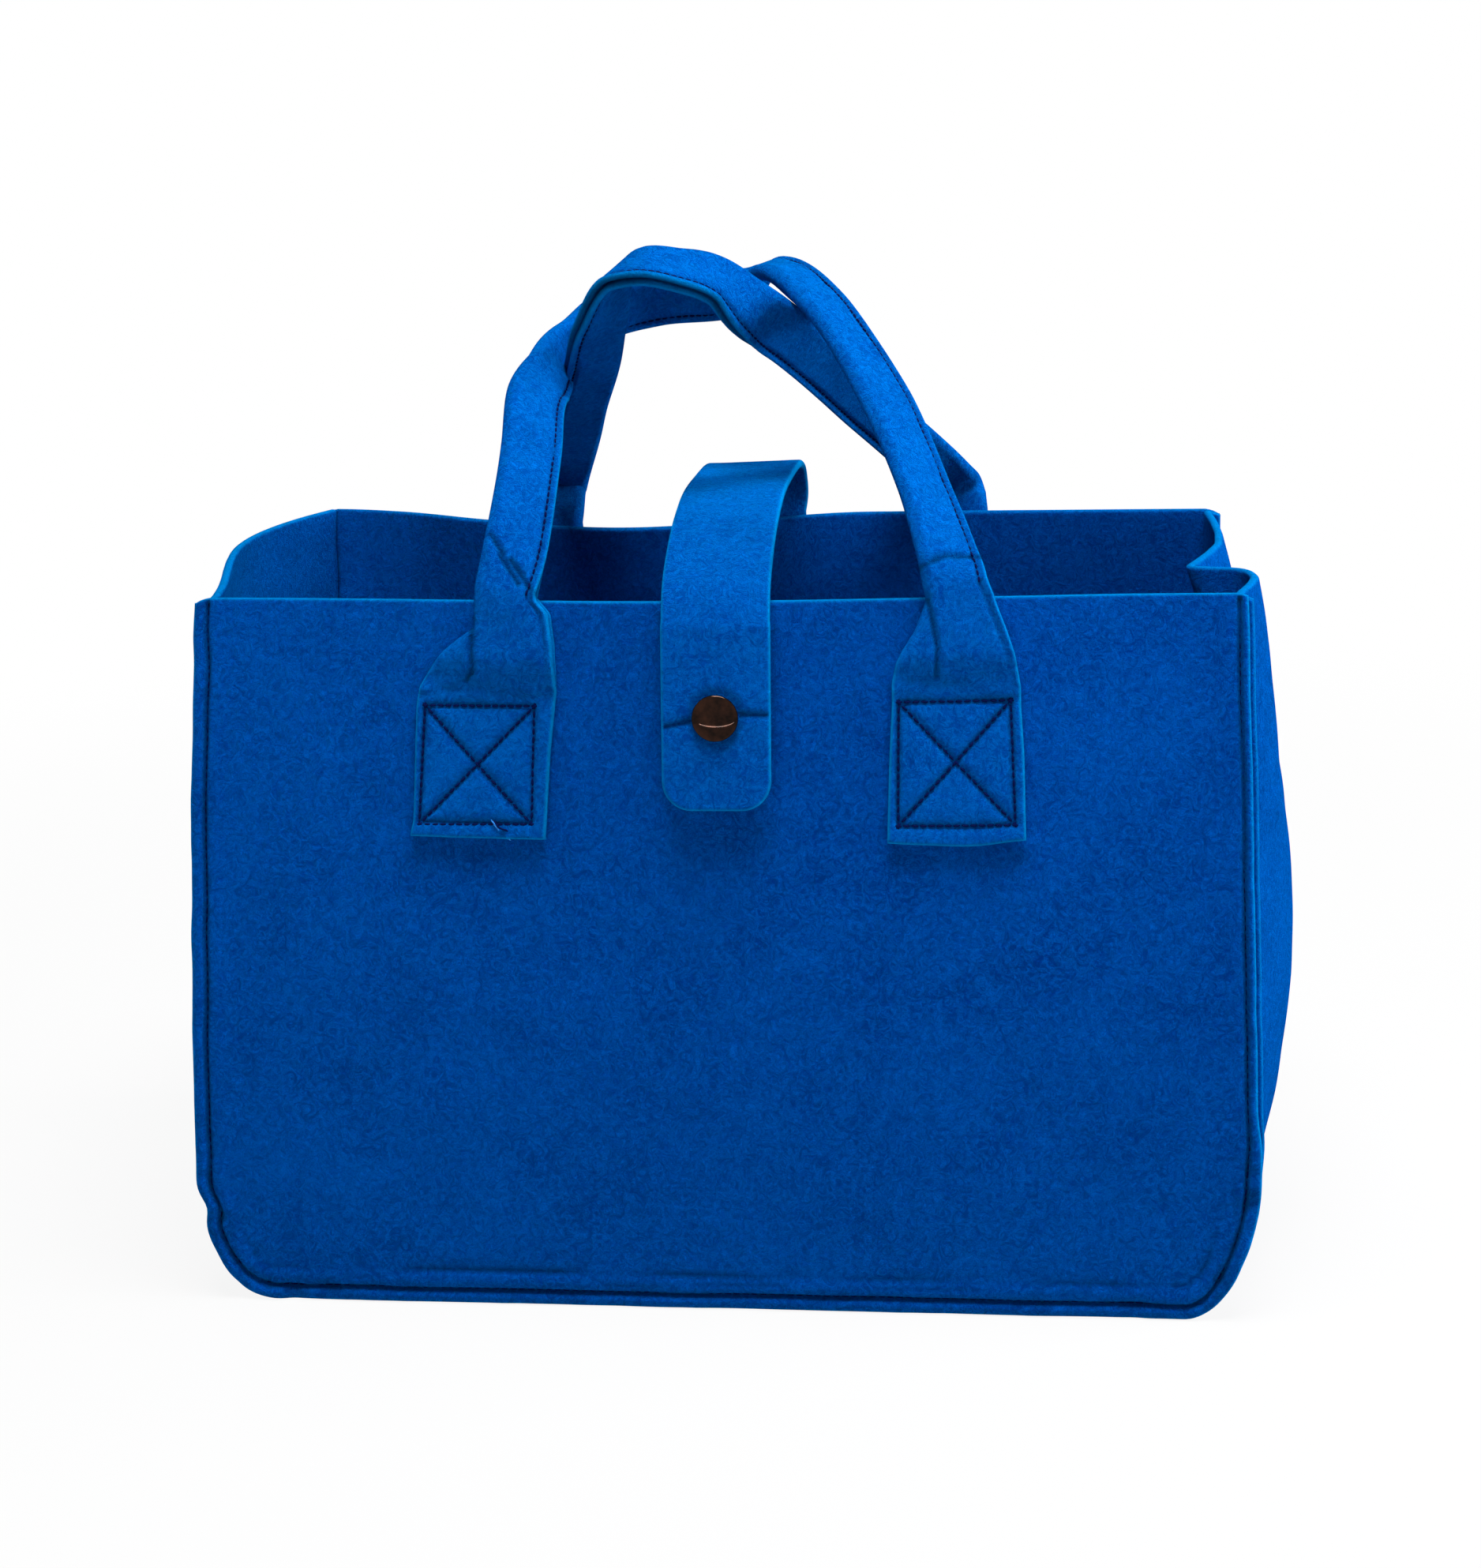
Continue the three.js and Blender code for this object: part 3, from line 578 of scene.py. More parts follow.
def make_panel(name, panel):
    """A panel's sheet, pressed along its seam, with creases low down and gathers in its corners."""
    x, up = panel_grid(panel)
    side = np.sign(x)
    own = panel.distance(x, up)
    edge = np.minimum(own - panel.trim(side, up), panel.height - up)
    half = FELT / 2 * edge_round(edge)
    low = ease(up, *LOW_ZONE)
    corner = ease(up, *CORNER_UP) * ease(np.abs(x), *CORNER_ACROSS)
    grain = xyz(x, 0, up)
    seam_at = FLANGE + waves(grain, SEAM_WANDER)
    second = SECOND_LINE + waves(grain, SECOND_WANDER)
    third = THIRD_LINE + waves(grain, THIRD_WANDER)
    second_patches = waves(grain, SECOND_PATCHES)
    third_shows = ease(waves(grain, THIRD_PATCHES), -0.2, 0.5)
    gathers = waves(grain, *GATHERS)
    gathers_show = GATHERS_ALL_ROUND + GATHERS_IN_CORNERS * corner + GATHERS_LOW * low
    gathers_band = ridge(own, GATHERS_AT, GATHERS_REACH)

    press = pressed_line(own, seam_at, SEAM_PRESS)
    press -= pressed_line(own, SHOULDER, SHOULDER_SWELL) * (0.5 + 0.5 * low)
    press -= pressed_line(own, ALLOWANCE_MIDDLE, ALLOWANCE_SWELL)
    press += pressed_line(own, second, SECOND_PRESS) * ease(second_patches, -0.7, 0.3) * low
    press += pressed_line(own, third, THIRD_PRESS) * third_shows * low
    press += gathers * gathers_show * gathers_band
    if panel.out < 0:  # the right allowance shows a line between its layers
        press += pressed_line(own, ALLOWANCE_MIDDLE, SPLIT_PRESS) * (side > 0) * ease(up, *SPLIT_ZONE)
    press *= ease(edge, *CUT_ZONE)

    shift = panel.ripple(x, up)
    base = panel.at(x, up)
    out = panel.normal(x, up)
    base[..., 2] -= panel.flap_drop(x, up)
    outer = base + out * (half + shift - press)[..., None]
    inner = base + out * (-half + shift)[..., None]
    outer[..., 2] = np.maximum(outer[..., 2], LOWEST)
    # Painted highlight along the cut edges
    cut = edge_highlight_share(edge, FRONT_EDGE_HIGHLIGHT if panel.out < 0 else BACK_EDGE_HIGHLIGHT)
    # Painted shade along the seam, in the creases low down and in the corners' gathers
    creases = pressed_line(own, second, SECOND_DARK) * ease(second_patches, -1, 0)
    creases += pressed_line(own, third, THIRD_DARK) * third_shows
    pressed = np.maximum(pressed_line(own, seam_at, SEAM_DARK), creases * low) * ease(edge, 0.2, 2)
    pressed += np.clip(gathers, 0, 1) * corner * gathers_band
    piece = sheet_solid(name, outer, inner, cut, body_felt, pressed)
    place_on_bag(piece)
    return piece


front_sheet = make_panel("front_felt", front)
back_sheet = make_panel("back_felt", back)
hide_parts("front_panel")
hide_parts("back_panel")

# Gusset

LEFT_BULGE = 18.0
RIGHT_BULGE = 22.0
# The right wall's folds at the rim: share of the way to the back, and how far out
RIM_FOLD = [
    (0, 0), (0.1, 4.5), (0.19, 7.5), (0.25, 6), (0.28, 1), (0.285, -14.5), (0.36, -10),
    (0.46, -5), (0.57, -0.5), (0.7, 1), (0.85, 0.8), (1, 0),
]
FRONT_TO_BACK = 170  # from seam to seam at the rim
RIM_COLUMNS = 92
SIDE_PLACES, CORNER_PLACES, BASE_PLACES = 62, 38, 92
FOLD_SOFTNESS = 0.009
FOLD_OUT_ZONE, FOLD_IN_ZONE = (0.4, 1), (0.7, 1)  # shares of the height where the folds set in
LIP_STEPS = [0, 0.12, 0.35, 0.7, 1.15, 1.8, 2.6, 3.4, 4.1, 4.6]
LIP_PINCH = 4.6  # the seam presses the allowance here
PINCH_DEPTH, PINCH_WIDTH = 0.9, 0.9
WALL_LEAN = ((1.1, 42, 31), (0.3, 15, 32))  # height, size and seed of each field
# Strength of the painted highlight along the gusset's cut edges
RIM_EDGE_HIGHLIGHT = 0.55
STILL_PLACES = 5  # at each end of a section
MEASURING_PLACES = 4001


def wall_swell(left, share, t):
    """How far a side wall stands out, at a share of the height and of the way to the back."""
    if left:
        return LEFT_BULGE * np.sin(np.pi / 2 * min(1, share * 1.2)) * np.sin(np.pi * t**1.4)
    bulge = RIGHT_BULGE * np.sin(np.pi * t) * np.sin(np.pi * min(1, share**0.95))
    fold = through(t, RIM_FOLD, FOLD_SOFTNESS)
    outward = np.maximum(fold, 0) * ease(share, *FOLD_OUT_ZONE)
    return bulge + outward + np.minimum(fold, 0) * ease(share, *FOLD_IN_ZONE)


def seam_line(panel):
    """Places round the outline: the panel's edge, and the direction out of it."""
    places = []
    top = 6
    tops = np.array([s for s in EDGE_STEPS if s < top])
    for hand in (-1.0, 1.0):
        high = float(panel.corner_height(hand))
        ups = np.concatenate([panel.height - tops, np.linspace(panel.height - top, high, SIDE_PLACES)[:-1]])
        side = [(float(panel.edge_x(hand, u)), u, hand, 0.0) for u in ups]
        for angle in np.linspace(0, np.pi / 2, CORNER_PLACES):
            u = high * (1 - math.sin(angle))
            n = np.array([hand * math.cos(angle) / CORNER_WIDTH, -math.sin(angle) / high])
            n /= np.hypot(*n)
            side.append((float(panel.edge_x(hand, u)), u, n[0], n[1]))
        places.append(side)
    half = panel.straight_half(0) - CORNER_WIDTH
    base = [(x, 0.0, 0.0, -1.0) for x in np.linspace(-half, half, BASE_PLACES)[1:-1]]
    return np.array(places[0] + base + places[1][::-1])


def sewn_ends(panel, line):
    """Where the gusset meets a panel's seam, and where its allowance ends under the panel's edge."""
    edge_x, edge_up = line[0], line[1]
    seam = panel.over(edge_x - FLANGE * line[2], edge_up - FLANGE * line[3], -SEWN_LAYER)
    end = panel.over(edge_x, edge_up, -SEWN_LAYER + float(panel.ripple(edge_x, edge_up)))
    end[2] -= float(panel.flap_drop(edge_x, edge_up))
    return seam, end


def rounded_bends(line, ends):
    """The section with its bends rounded, apart from a few points at each end."""
    soft = line.copy()
    for _ in range(2):
        soft[1:-1] = 0.25 * soft[:-2] + 0.5 * soft[1:-1] + 0.25 * soft[2:]
    keep = np.ones(len(line))
    keep[:ends] = keep[-ends:] = 0
    return line + (soft - line) * keep[:, None]


def make_gusset():
    """The long strip from rim to rim, one section at every place of the two seams."""
    fine = np.linspace(0, 1, MEASURING_PLACES)
    rim = wall_swell(False, 1.0, fine)
    reach = np.concatenate([[0], np.cumsum(np.hypot(np.diff(rim), np.diff(fine) * FRONT_TO_BACK))])
    ts = np.interp(np.linspace(0, reach[-1], RIM_COLUMNS), reach, fine)
    lips = np.array(LIP_STEPS)
    gone = np.concatenate([lips, FLANGE + 0 * ts, lips[::-1]])
    pinch = ridge(gone, LIP_PINCH, PINCH_WIDTH) * (gone < FLANGE)
    along_lip = (1 - lips / FLANGE)[:, None]
    outer, inner, edge_highlights, pressed = [], [], [], []
    for f, b in zip(seam_line(front), seam_line(back)):
        x, up, way = f[0], f[1], np.array([f[2], 0, f[3]])
        (start, start_end), (stop, stop_end) = sewn_ends(front, f), sewn_ends(back, b)
        share = max(0.0, (up - FLANGE * f[3] - FLANGE) / (FRONT_HEIGHT - FLANGE))
        lean = waves(xyz(x, ts * BASE_DEPTH, up), *WALL_LEAN)
        swell = wall_swell(x < 0, share, ts) + lean * np.sin(np.pi * ts) * min(1, 0.3 + share)
        wall = start + (stop - start) * ts[:, None] + swell[:, None] * way
        first = start + (start_end - start) * along_lip
        last = stop + (stop_end - stop) * along_lip[::-1]
        line = rounded_bends(np.concatenate([first, wall, last]), STILL_PLACES)
        along = unit(np.gradient(line, axis=0))
        out = unit(np.cross(unit(np.cross(way, np.array([0, 1.0, 0]))), along))
        top = FRONT_HEIGHT - up if abs(f[3]) < 1e-9 else FAR
        edge = np.minimum(np.where(gone < FLANGE, gone, FAR), top)
        half = FELT / 2 * edge_round(edge)
        outer.append(line + out * (half - PINCH_DEPTH * pinch)[:, None])
        inner.append(line - out * half[:, None])
        # Painted highlight along the cut edges, and painted shade where the seam pinches the allowance
        edge_highlights.append(edge_highlight_share(edge, RIM_EDGE_HIGHLIGHT))
        pressed.append(pinch)
    outer, inner = np.array(outer), np.array(inner)
    for grid in (outer, inner):
        grid[..., 2] = np.maximum(grid[..., 2], LOWEST)
    piece = sheet_solid("gusset_felt", outer, inner, np.array(edge_highlights), body_felt, np.array(pressed))
    place_on_bag(piece, "gusset")


make_gusset()

# Handles

# Each knot: share of the way out to the side, share of the way to the back, height in rises over
# the rim, and where the sewn edge looks.
FRONT_RUN = [
    [-0.82, 0.02, 0.15, [0.95, 0.3, 0]],
    [-0.8, 0.07, 0.28, [0.9, 0.4, 0]],
    [-0.795, 0.17, 0.454, [0.86, 0.5, 0]],
    [-0.81, 0.27, 0.6, [0.62, 0.78, 0]],
    [-0.8, 0.39, 0.66, [0.3, 0.92, -0.25]],
    [-0.773, 0.55, 0.74, [0.15, 0.9, -0.4]],
    [-0.62, 0.67, 0.846, [0.12, 0.6, -0.8]],
    [-0.398, 0.72, 0.89, [0.05, 0.35, -0.92]],
    [-0.054, 0.68, 0.919, [0, 0.5, -0.87]],
    [0.139, 0.645, 0.995, [0, 1, 0.05]],
    [0.4, 0.465, 0.9, [0.4, 0.9, 0.1]],
    [0.693, 0.27, 0.602, [0.66, 0.75, 0]],
    [0.876, 0.12, 0.317, [0.68, 0.72, 0]],
    [0.965, 0.03, 0.14, [0.82, 0.5, 0]],
]
BACK_RUN = [
    [-1, 1.01, 0.13, [-1, 0, 0]],
    [-0.876, 0.86, 0.324, [-0.93, -0.35, 0]],
    [-0.76, 0.67, 0.509, [-0.9, -0.43, 0]],
    [-0.635, 0.5, 0.683, [-0.8, -0.6, 0]],
    [-0.55, 0.38, 0.841, [-0.68, -0.74, 0]],
    [-0.439, 0.31, 1.02, [-0.35, -0.85, -0.3]],
    [-0.33, 0.29, 1.05, [-0.05, -0.9, -0.42]],
    [-0.173, 0.31, 1.03, [0, -0.86, -0.5]],
    [-0.032, 0.35, 0.99, [-0.15, -0.8, -0.58]],
    [0.1, 0.4, 0.89, [-0.4, -0.4, -0.78]],
    [0.28, 0.51, 0.755, [-0.52, 0.42, -0.72]],
    [0.45, 0.65, 0.6, [-0.56, 0.42, -0.74]],
    [0.621, 0.8, 0.432, [-0.62, 0.36, -0.68]],
    [0.824, 0.93, 0.251, [-0.85, 0, -0.55]],
    [0.97, 1.01, 0.12, [-1, 0, 0]],
]


def curve_through(points, ts):
    """A centripetal Catmull-Rom curve through points, at shares of its number of spans."""
    p = np.array(points, float)
    p = np.concatenate([[2 * p[0] - p[1]], p, [2 * p[-1] - p[-2]]])
    spans = len(points) - 1
    result = []
    for t in ts:
        i = min(int(t * spans), spans - 1)
        w = t * spans - i
        a, b, c, d = p[i : i + 4]
        da, db, dc = (max(np.dot(v, v) ** 0.25, 1e-4) for v in (b - a, c - b, d - c))
        m1 = ((b - a) / da - (c - a) / (da + db) + (c - b) / db) * db
        m2 = ((c - b) / db - (d - b) / (db + dc) + (d - c) / dc) * db
        result.append(b + m1 * w + (-3 * b + 3 * c - 2 * m1 - m2) * w**2 + (2 * b - 2 * c + m1 + m2) * w**3)
    return np.array(result)


# Half a section of a strip: distance from each edge, then into the groove between the two layers.
FACE_STEPS = [0, 0.12, 0.35, 0.7, 1.15, 1.7, 2.2, 2.6, 3.0, 3.5]
FACE_COUNT = 38
GROOVE = [(0.0, 1.15), (0.35, 0.6), (1.2, 0.36), (3.0, 0.22), (6.5, 0.08)]
FLAT_GROOVE = [0.38, 0.3, 0.2, 0.12, 0.04]
# Share of the painted highlight at the groove's first points, by the cut edges
GROOVE_EDGE_HIGHLIGHT = [0.55, 0.3, 0, 0, 0]


def strip_section(width, thick, fold):
    """A strip's section from its sewn edge round the fold: across, out, face and the painted highlight along
    its cut edges.
    """
    half_w, half_t = width / 2, thick / 2
    fine = np.array(FACE_STEPS)
    middle = np.linspace(fine[-1], width - fine[-1], FACE_COUNT)[1:-1]
    d = np.concatenate([fine, middle, (width - fine)[::-1]])  # from the sewn edge
    far = width - d
    bend = (1 - fold) * CUT_ROUND + fold * half_t
    t = 1 - np.clip(far / bend, 0, 1)
    fold_side = np.sqrt(np.maximum(1 - (0.9 + 0.095 * fold) * t**2, 0))
    sewn_side = edge_round(d)
    layer = half_t - fold * (FELT / 2) * (1 - sewn_side)
    flat = half_t * sewn_side
    v = np.where(d < half_w, fold * layer + (1 - fold) * flat, half_t * fold_side)
    v = v - fold * ridge(d, EDGE_SEAM, 1.0)
    groove = np.array(GROOVE)
    gu = half_w - fold * groove[:, 0] + 0.05 * (1 - fold)
    gv = fold * groove[:, 1] + (1 - fold) * np.array(FLAT_GROOVE)
    u = half_w - d
    across = np.concatenate([u, u[::-1], gu, gu[::-1]])
    out = np.concatenate([v, -v[::-1], -gv, gv[::-1]])
    face = np.concatenate([np.ones(len(u)), -np.ones(len(u)), 0 * gu, 0 * gu])
    cut_near = np.concatenate([d, d[::-1]])
    cut_far = np.concatenate([far, far[::-1]])
    # Painted highlight along the cut edges, weaker along a fold
    cut = np.maximum(edge_highlight_share(cut_near, 1 - 0.35 * fold), (1 - fold) * edge_highlight_share(cut_far))
    return across, out, face, np.concatenate([cut, GROOVE_EDGE_HIGHLIGHT, GROOVE_EDGE_HIGHLIGHT[::-1]])


# The sewn ends: their left and right edge, as height and place across, then the corners of the
# stitched box and the creases, as place across and height. The fold's loose flap lies on the left
# of the crease.
ENDS = {
    ("front", -1): {
        "left": [
            (158, -99.5), (164, -98.3), (186, -97.4), (202.4, -96.7), (208.7, -95.3), (213.8, -92.1),
            (219, -88.1), (223.3, -82.7), (226.9, -76.9), (240, -76.5),
        ],
        "right": [
            (158, -54.5), (164.7, -54), (186.5, -52.4), (202.5, -50.6), (207, -50), (222, -50.6),
            (232, -51.8), (236, -55.6), (240, -55.9),
        ],
        "box": [(-96.2, 163.7), (-58.8, 164.3), (-57.2, 202.4), (-93.6, 202.1)],
        "creases": [((-77.0, 231), (-76.9, 212.1)), ((-77.0, 214), (-79.0, 210.5))],
        "flap": -77.5,
    },
    ("front", 1): {
        "left": [
            (158, 56.3), (186.6, 57.2), (202.8, 58.0), (209.1, 57.9), (215.3, 59.1), (219, 60.9),
            (225.7, 65.2), (233.8, 68.4), (240, 69.0),
        ],
        "right": [
            (158, 100.6), (186, 100.1), (201, 99.1), (207.5, 99), (217.6, 97), (225, 94.5),
            (234, 91.0), (240, 89.2),
        ],
        "box": [(59.9, 164), (97.2, 164), (95.7, 203.2), (60.1, 203.2)],
        "creases": [((69.3, 235), (72.3, 220.2)), ((72.3, 220.2), (72.0, 211))],
        "flap": 70.5,
    },
}
BACK_LEFT = [(158, -22.5), (202, -22.3), (208, -21.2), (216, -16), (226, -11), (240, -10.25)]
BACK_RIGHT = [(158, 22.5), (202, 22.3), (209, 21.8), (219, 17), (230, 11), (240, 10.25)]
BACK_BOX_LOW, BACK_BOX_HIGH = 162, 202


def box_lines(corners):
    """The four sides and the cross of a stitched box."""
    sides = [(corners[i], corners[(i + 1) % 4]) for i in range(4)]
    return sides + [(corners[0], corners[2]), (corners[1], corners[3])]


def box_corners(middle, low, high, half):
    return [(middle - half, low), (middle + half, low), (middle + half, high), (middle - half, high)]


for back_side in (-1, 1):
    at = back_side * HANDLE_OFFSET
    ENDS[("back", back_side)] = {
        "left": [(up, at + across) for up, across in BACK_LEFT],
        "right": [(up, at + across) for up, across in BACK_RIGHT],
        "box": box_corners(at, BACK_BOX_LOW, BACK_BOX_HIGH, TAB_WIDTH / 2 - STITCH_INSET),
        "creases": [((at + 3, 232), (at + 5, 214))],
        "flap": None,
    }


def near_lines(x, up, lines):
    """Distance from the nearest of some straight lines."""
    best = np.full(np.shape(x), FAR)
    for (x0, z0), (x1, z1) in lines:
        dx, dz = x1 - x0, z1 - z0
        t = np.clip(((x - x0) * dx + (up - z0) * dz) / (dx * dx + dz * dz), 0, 1)
        best = np.minimum(best, np.hypot(x - x0 - t * dx, up - z0 - t * dz))
    return best


# Heights between which the sewn ends change
FOLDING, THICKENING, FLAP_RISES = (204.5, 225), (203, 219), (205, 213)
PUFF_ENDS, CRUMPLING, HEM_SAGS, HEM_DROPS = (204, 198), (205, 214), (172, 158), (170, 158)
WRINKLES_AT, WRINKLES_REACH = 207, 3.6
WRINKLES, CRUMPLES, HEM_WAVE = (0.8, 2.2, 41), (0.5, 8, 43), (0.9, 17, 44)  # height, size and seed
BOX_PRESS, BOX_DARK = (0.95, 0.8), (0.55, 0.9)  # depth and width along the box's stitches, then strength and width of the painted shade there
CREASE_DEPTH, CREASE_WIDTH = 1.1, 0.8
FLAP_SLOPE, FLAP_REACH, PUFF = 0.15, 14, 0.25
END_PITCH = 0.95
HEM_DROP, HEM_LIFT = 1.3, 2.4  # the front's cut ends hang lower, apart from the right one's middle


def handle_end(where, panel, side, sewn):
    """Rings of an end on its panel, from the cut end up to the rim."""
    shape = ENDS[(where, side)]
    rings, edge_highlights, painted_shades = [], [], []
    lines = box_lines(shape["box"])
    first = TAB_BOTTOM + np.array(EDGE_STEPS[:8])
    ups = np.concatenate([first, np.arange(TAB_BOTTOM + 4, panel.height + 0.2, END_PITCH)])
    for up in ups:
        left, right = (float(through(up, shape[k], 0.9)) for k in ("left", "right"))
        fold = float(ease(up, *FOLDING))
        thick = FELT + (FOLDED_THICKNESS - FELT) * float(ease(up, *THICKENING))
        u, v, face, cut = strip_section(right - left, thick, fold)
        end = up - TAB_BOTTOM
        v = v * float(edge_round(end))
        # Painted highlight at the cut end
        cut = np.maximum(cut, float(edge_highlight_share(end)))
        x = (left + right) / 2 + sewn * u
        outside = face == -side
        near = near_lines(x, up, lines)
        crease = ridge(near_lines(x, up, shape["creases"]), 0, CREASE_WIDTH)
        press = pressed_line(near, 0, BOX_PRESS) * float(ease(end, 0.5, 3)) + CREASE_DEPTH * crease
        if shape["flap"]:
            beyond = np.clip(shape["flap"] - x, 0, FLAP_REACH)
            press = press + FLAP_SLOPE * beyond * float(ease(up, *FLAP_RISES))
        puff = PUFF * ease(near, 0.8, 4) * float(ease(up, *PUFF_ENDS))
        wrinkle = waves(xyz(x / 4, 7 * side, up), WRINKLES) * float(ridge(up, WRINKLES_AT, WRINKLES_REACH))
        wrinkle += waves(xyz(x, 5 * side, up * 0.6), CRUMPLES) * float(ease(up, *CRUMPLING))
        v = v + np.where(outside, -side, 0) * (puff - press + wrinkle) * (cut < 0.9)
        drop = waves(xyz(x, 0, 9 * side), HEM_WAVE) * float(ease(up, *HEM_SAGS))
        if where == "front":
            drop = drop + (HEM_DROP - HEM_LIFT * (side > 0) * hump(x, 75, 30)) * float(ease(up, *HEM_DROPS))
        offset = FELT / 2 + GAP + thick / 2
        rings.append(panel.over(x, up + drop, offset - side * v))
        edge_highlights.append(cut)
        # Painted shade in the creases and along the box's stitches, on the outer face
        painted_shades.append(np.where(outside, np.maximum(crease, pressed_line(near, 0, BOX_DARK)), 0))
    return rings, edge_highlights, painted_shades


# Creases over the front handle's sewn ends, as place across and distance from the rim. False stands
# for the run's start and True for its end.
FRONT_CREASES = {
    False: [((-4.5, 10.5), (4, 2.4)), ((-0.7, 9.6), (9.5, 0.5)), ((-9, 17), (-3.5, 11))],
    True: [((-10, 8), (-2, 10)), ((-2, 10), (10, 8.2))],
}
RUN_RINGS = 210
SETTLE = 18  # a handle is stiff this far from its sewn ends
STILL_SHARE = 0.25  # the dents' share that is left there
CREASE_REACH = 60
EDGE_SEAM_DEPTH = 0.95
WIDTH_VARIES, THICKNESS_VARIES = 0.7, 0.5
FRONT_SEED, BACK_SEED = 51, 61
FOLD_CREASE_DEPTH, FOLD_CREASE_WIDTH = 1.3, 0.9
# Strength and width of the painted shade along the edge stitches, and the painted shade in the groove between
# the layers
EDGE_SEAM_DARK = (0.5, 0.6)
GROOVE_DARK = 0.8
FACES_APART = 40  # keeps the dents of the two faces unlike each other


def lengths_along(line):
    return np.concatenate([[0], np.cumsum(np.linalg.norm(np.diff(line, axis=0), axis=1))])


def handle_run(panel, run, sewn):
    """The middle line of a handle, and the directions towards its sewn edge and out of its face."""
    offset = FELT / 2 + GAP + FOLDED_THICKNESS / 2
    rim_y = {p: float(p.over(HANDLE_OFFSET, p.height, offset)[1]) for p in (front, back)}
    left_leg = -LEG_OFFSET if panel is front else -HANDLE_OFFSET
    ends = [panel.over(x, panel.height, offset) + (0, 0, FELT) for x in (left_leg, HANDLE_OFFSET)]
    deep = rim_y[back] - rim_y[front]
    free = [
        [across * HANDLE_OFFSET, rim_y[front] + deep * share, FRONT_HEIGHT + rise * HANDLE_RISE]
        for across, share, rise, _ in run
    ]
    turns = [list(unit(np.array(edge, float))) for *_, edge in run]
    points = [ends[0], *free, ends[1]]
    edges = [[sewn, 0, 0], *turns, [sewn, 0, 0]]
    ts = np.linspace(0, 1, RUN_RINGS)
    step = 1e-3
    after = curve_through(points, np.minimum(ts + step, 1))
    ahead = unit(after - curve_through(points, np.maximum(ts - step, 0)))
    toward = curve_through(edges, ts)
    to_edge = unit(toward - ahead * (toward * ahead).sum(-1, keepdims=True))
    return curve_through(points, ts), to_edge, np.cross(to_edge, ahead)


def make_handle(name, where, panel, run, sewn, node, creases):
    """A folded strip with its two flat sewn ends, and the lines of its edge stitches."""
    line, to_edge, out = handle_run(panel, run, sewn)
    length = lengths_along(line)
    rings, edge_highlights, painted_shades = handle_end(where, panel, -1, sewn)
    seed = FRONT_SEED if panel is front else BACK_SEED
    stitch_lines = {1: [], -1: []}
    for i, passed in enumerate(length):
        loose = float(ease(passed, 0, SETTLE) * ease(length[-1] - passed, 0, SETTLE))
        dented = max(loose, STILL_SHARE)
        width = FOLDED_WIDTH + WIDTH_VARIES * loose * float(drift([passed, seed, 0], 34, 1))
        thick = FOLDED_THICKNESS - THICKNESS_VARIES * loose * (1 + float(drift([passed, 0, seed], 21, 2)))
        u, v, face, cut = strip_section(width, thick, 1.0)
        place = xyz(passed, u, FACES_APART * face)
        dent = waves(place, (0.55, 13, seed)) + waves(place * (1, 0.4, 1), (0.34, 5.5, seed + 1))
        # deep holds the painted shade along the edge stitches and in the fold creases
        deep = pressed_line(width / 2 - u, EDGE_SEAM, EDGE_SEAM_DARK)
        for from_end, lines in creases.items():
            reach = length[-1] - passed if from_end else passed
            if reach < CREASE_REACH:
                crease = ridge(near_lines(sewn * u, reach, lines), 0, FOLD_CREASE_WIDTH)
                dent = dent - FOLD_CREASE_DEPTH * crease / dented
                deep = np.maximum(deep, crease)
        v = v + face * dent * ease(width / 2 - np.abs(u), 0.5, 4) * dented
        rings.append(line[i] + to_edge[i] * u[:, None] + out[i] * v[:, None])
        edge_highlights.append(cut)
        painted_shades.append(np.where(face == 0, GROOVE_DARK, deep))
        for sign in (1, -1):
            seam = line[i] + to_edge[i] * (width / 2 - EDGE_SEAM)
            stitch_lines[sign].append(seam + out[i] * sign * (thick / 2 - EDGE_SEAM_DEPTH))
    for whole, more in zip((rings, edge_highlights, painted_shades), handle_end(where, panel, 1, sewn)):
        whole.extend(more[::-1])
    piece = tube_solid(name, np.array(rings), np.array(edge_highlights), trim_felt, np.array(painted_shades))
    place_on_bag(piece, node)
    return stitch_lines


front_rows = make_handle("handle_felt_front", "front", front, FRONT_RUN, 1, "handle_front", FRONT_CREASES)
back_rows = make_handle("handle_felt_back", "back", back, BACK_RUN, -1, "handle_back", {})

# Strap

RIM_BEND = 8.0
# The arch over the mouth, as share of the way to the front and share of the rise
STRAP_ARCH = [(-0.01, 0.35), (0.02, 0.7), (0.12, 0.92), (0.4, 1), (0.65, 0.93), (0.85, 0.6), (0.97, 0.16)]
STRAP_DENTS = [((-15.5, 196.2), (-6.1, 198.2)), ((10.4, 200.4), (19.5, 200.0))]  # at both sides of the cap
CAP_RADIUS = 7.5
DENT_PRESS, CAP_RING_PRESS, STRAP_SEAM_PRESS = (0.95, 0.9), (0.5, 1.5), (0.75, 0.85)  # depth and width
ARCH_SWAY, STRAP_WAVE = (0.3, 17, 71), (0.12, 6, 72)  # height, size and seed
# Strength of the painted highlight along the strap's cut edges, and the darkest painted shade in its dents and
# seam
STRAP_EDGE_HIGHLIGHT = 0.85
DARKEST_PAINTED_SHADE = 0.8
CAP_PRESS_RADIUS = CAP_RADIUS + 0.3  # the cap presses a ring into the felt
ON_ARCH = 300  # places on the arch are counted from here, over every height on a panel
STRAP_COLUMNS, ARCH_ROWS, TIP_ROWS = 30, 122, 22
CURVE_PLACES = 400


def rim_bow(panel, across):
    """How far the rim stands behind its place at the strap's middle."""
    return panel.at(STRAP_MIDDLE + across, panel.height)[:, 1] - panel.at(STRAP_MIDDLE, panel.height)[1]


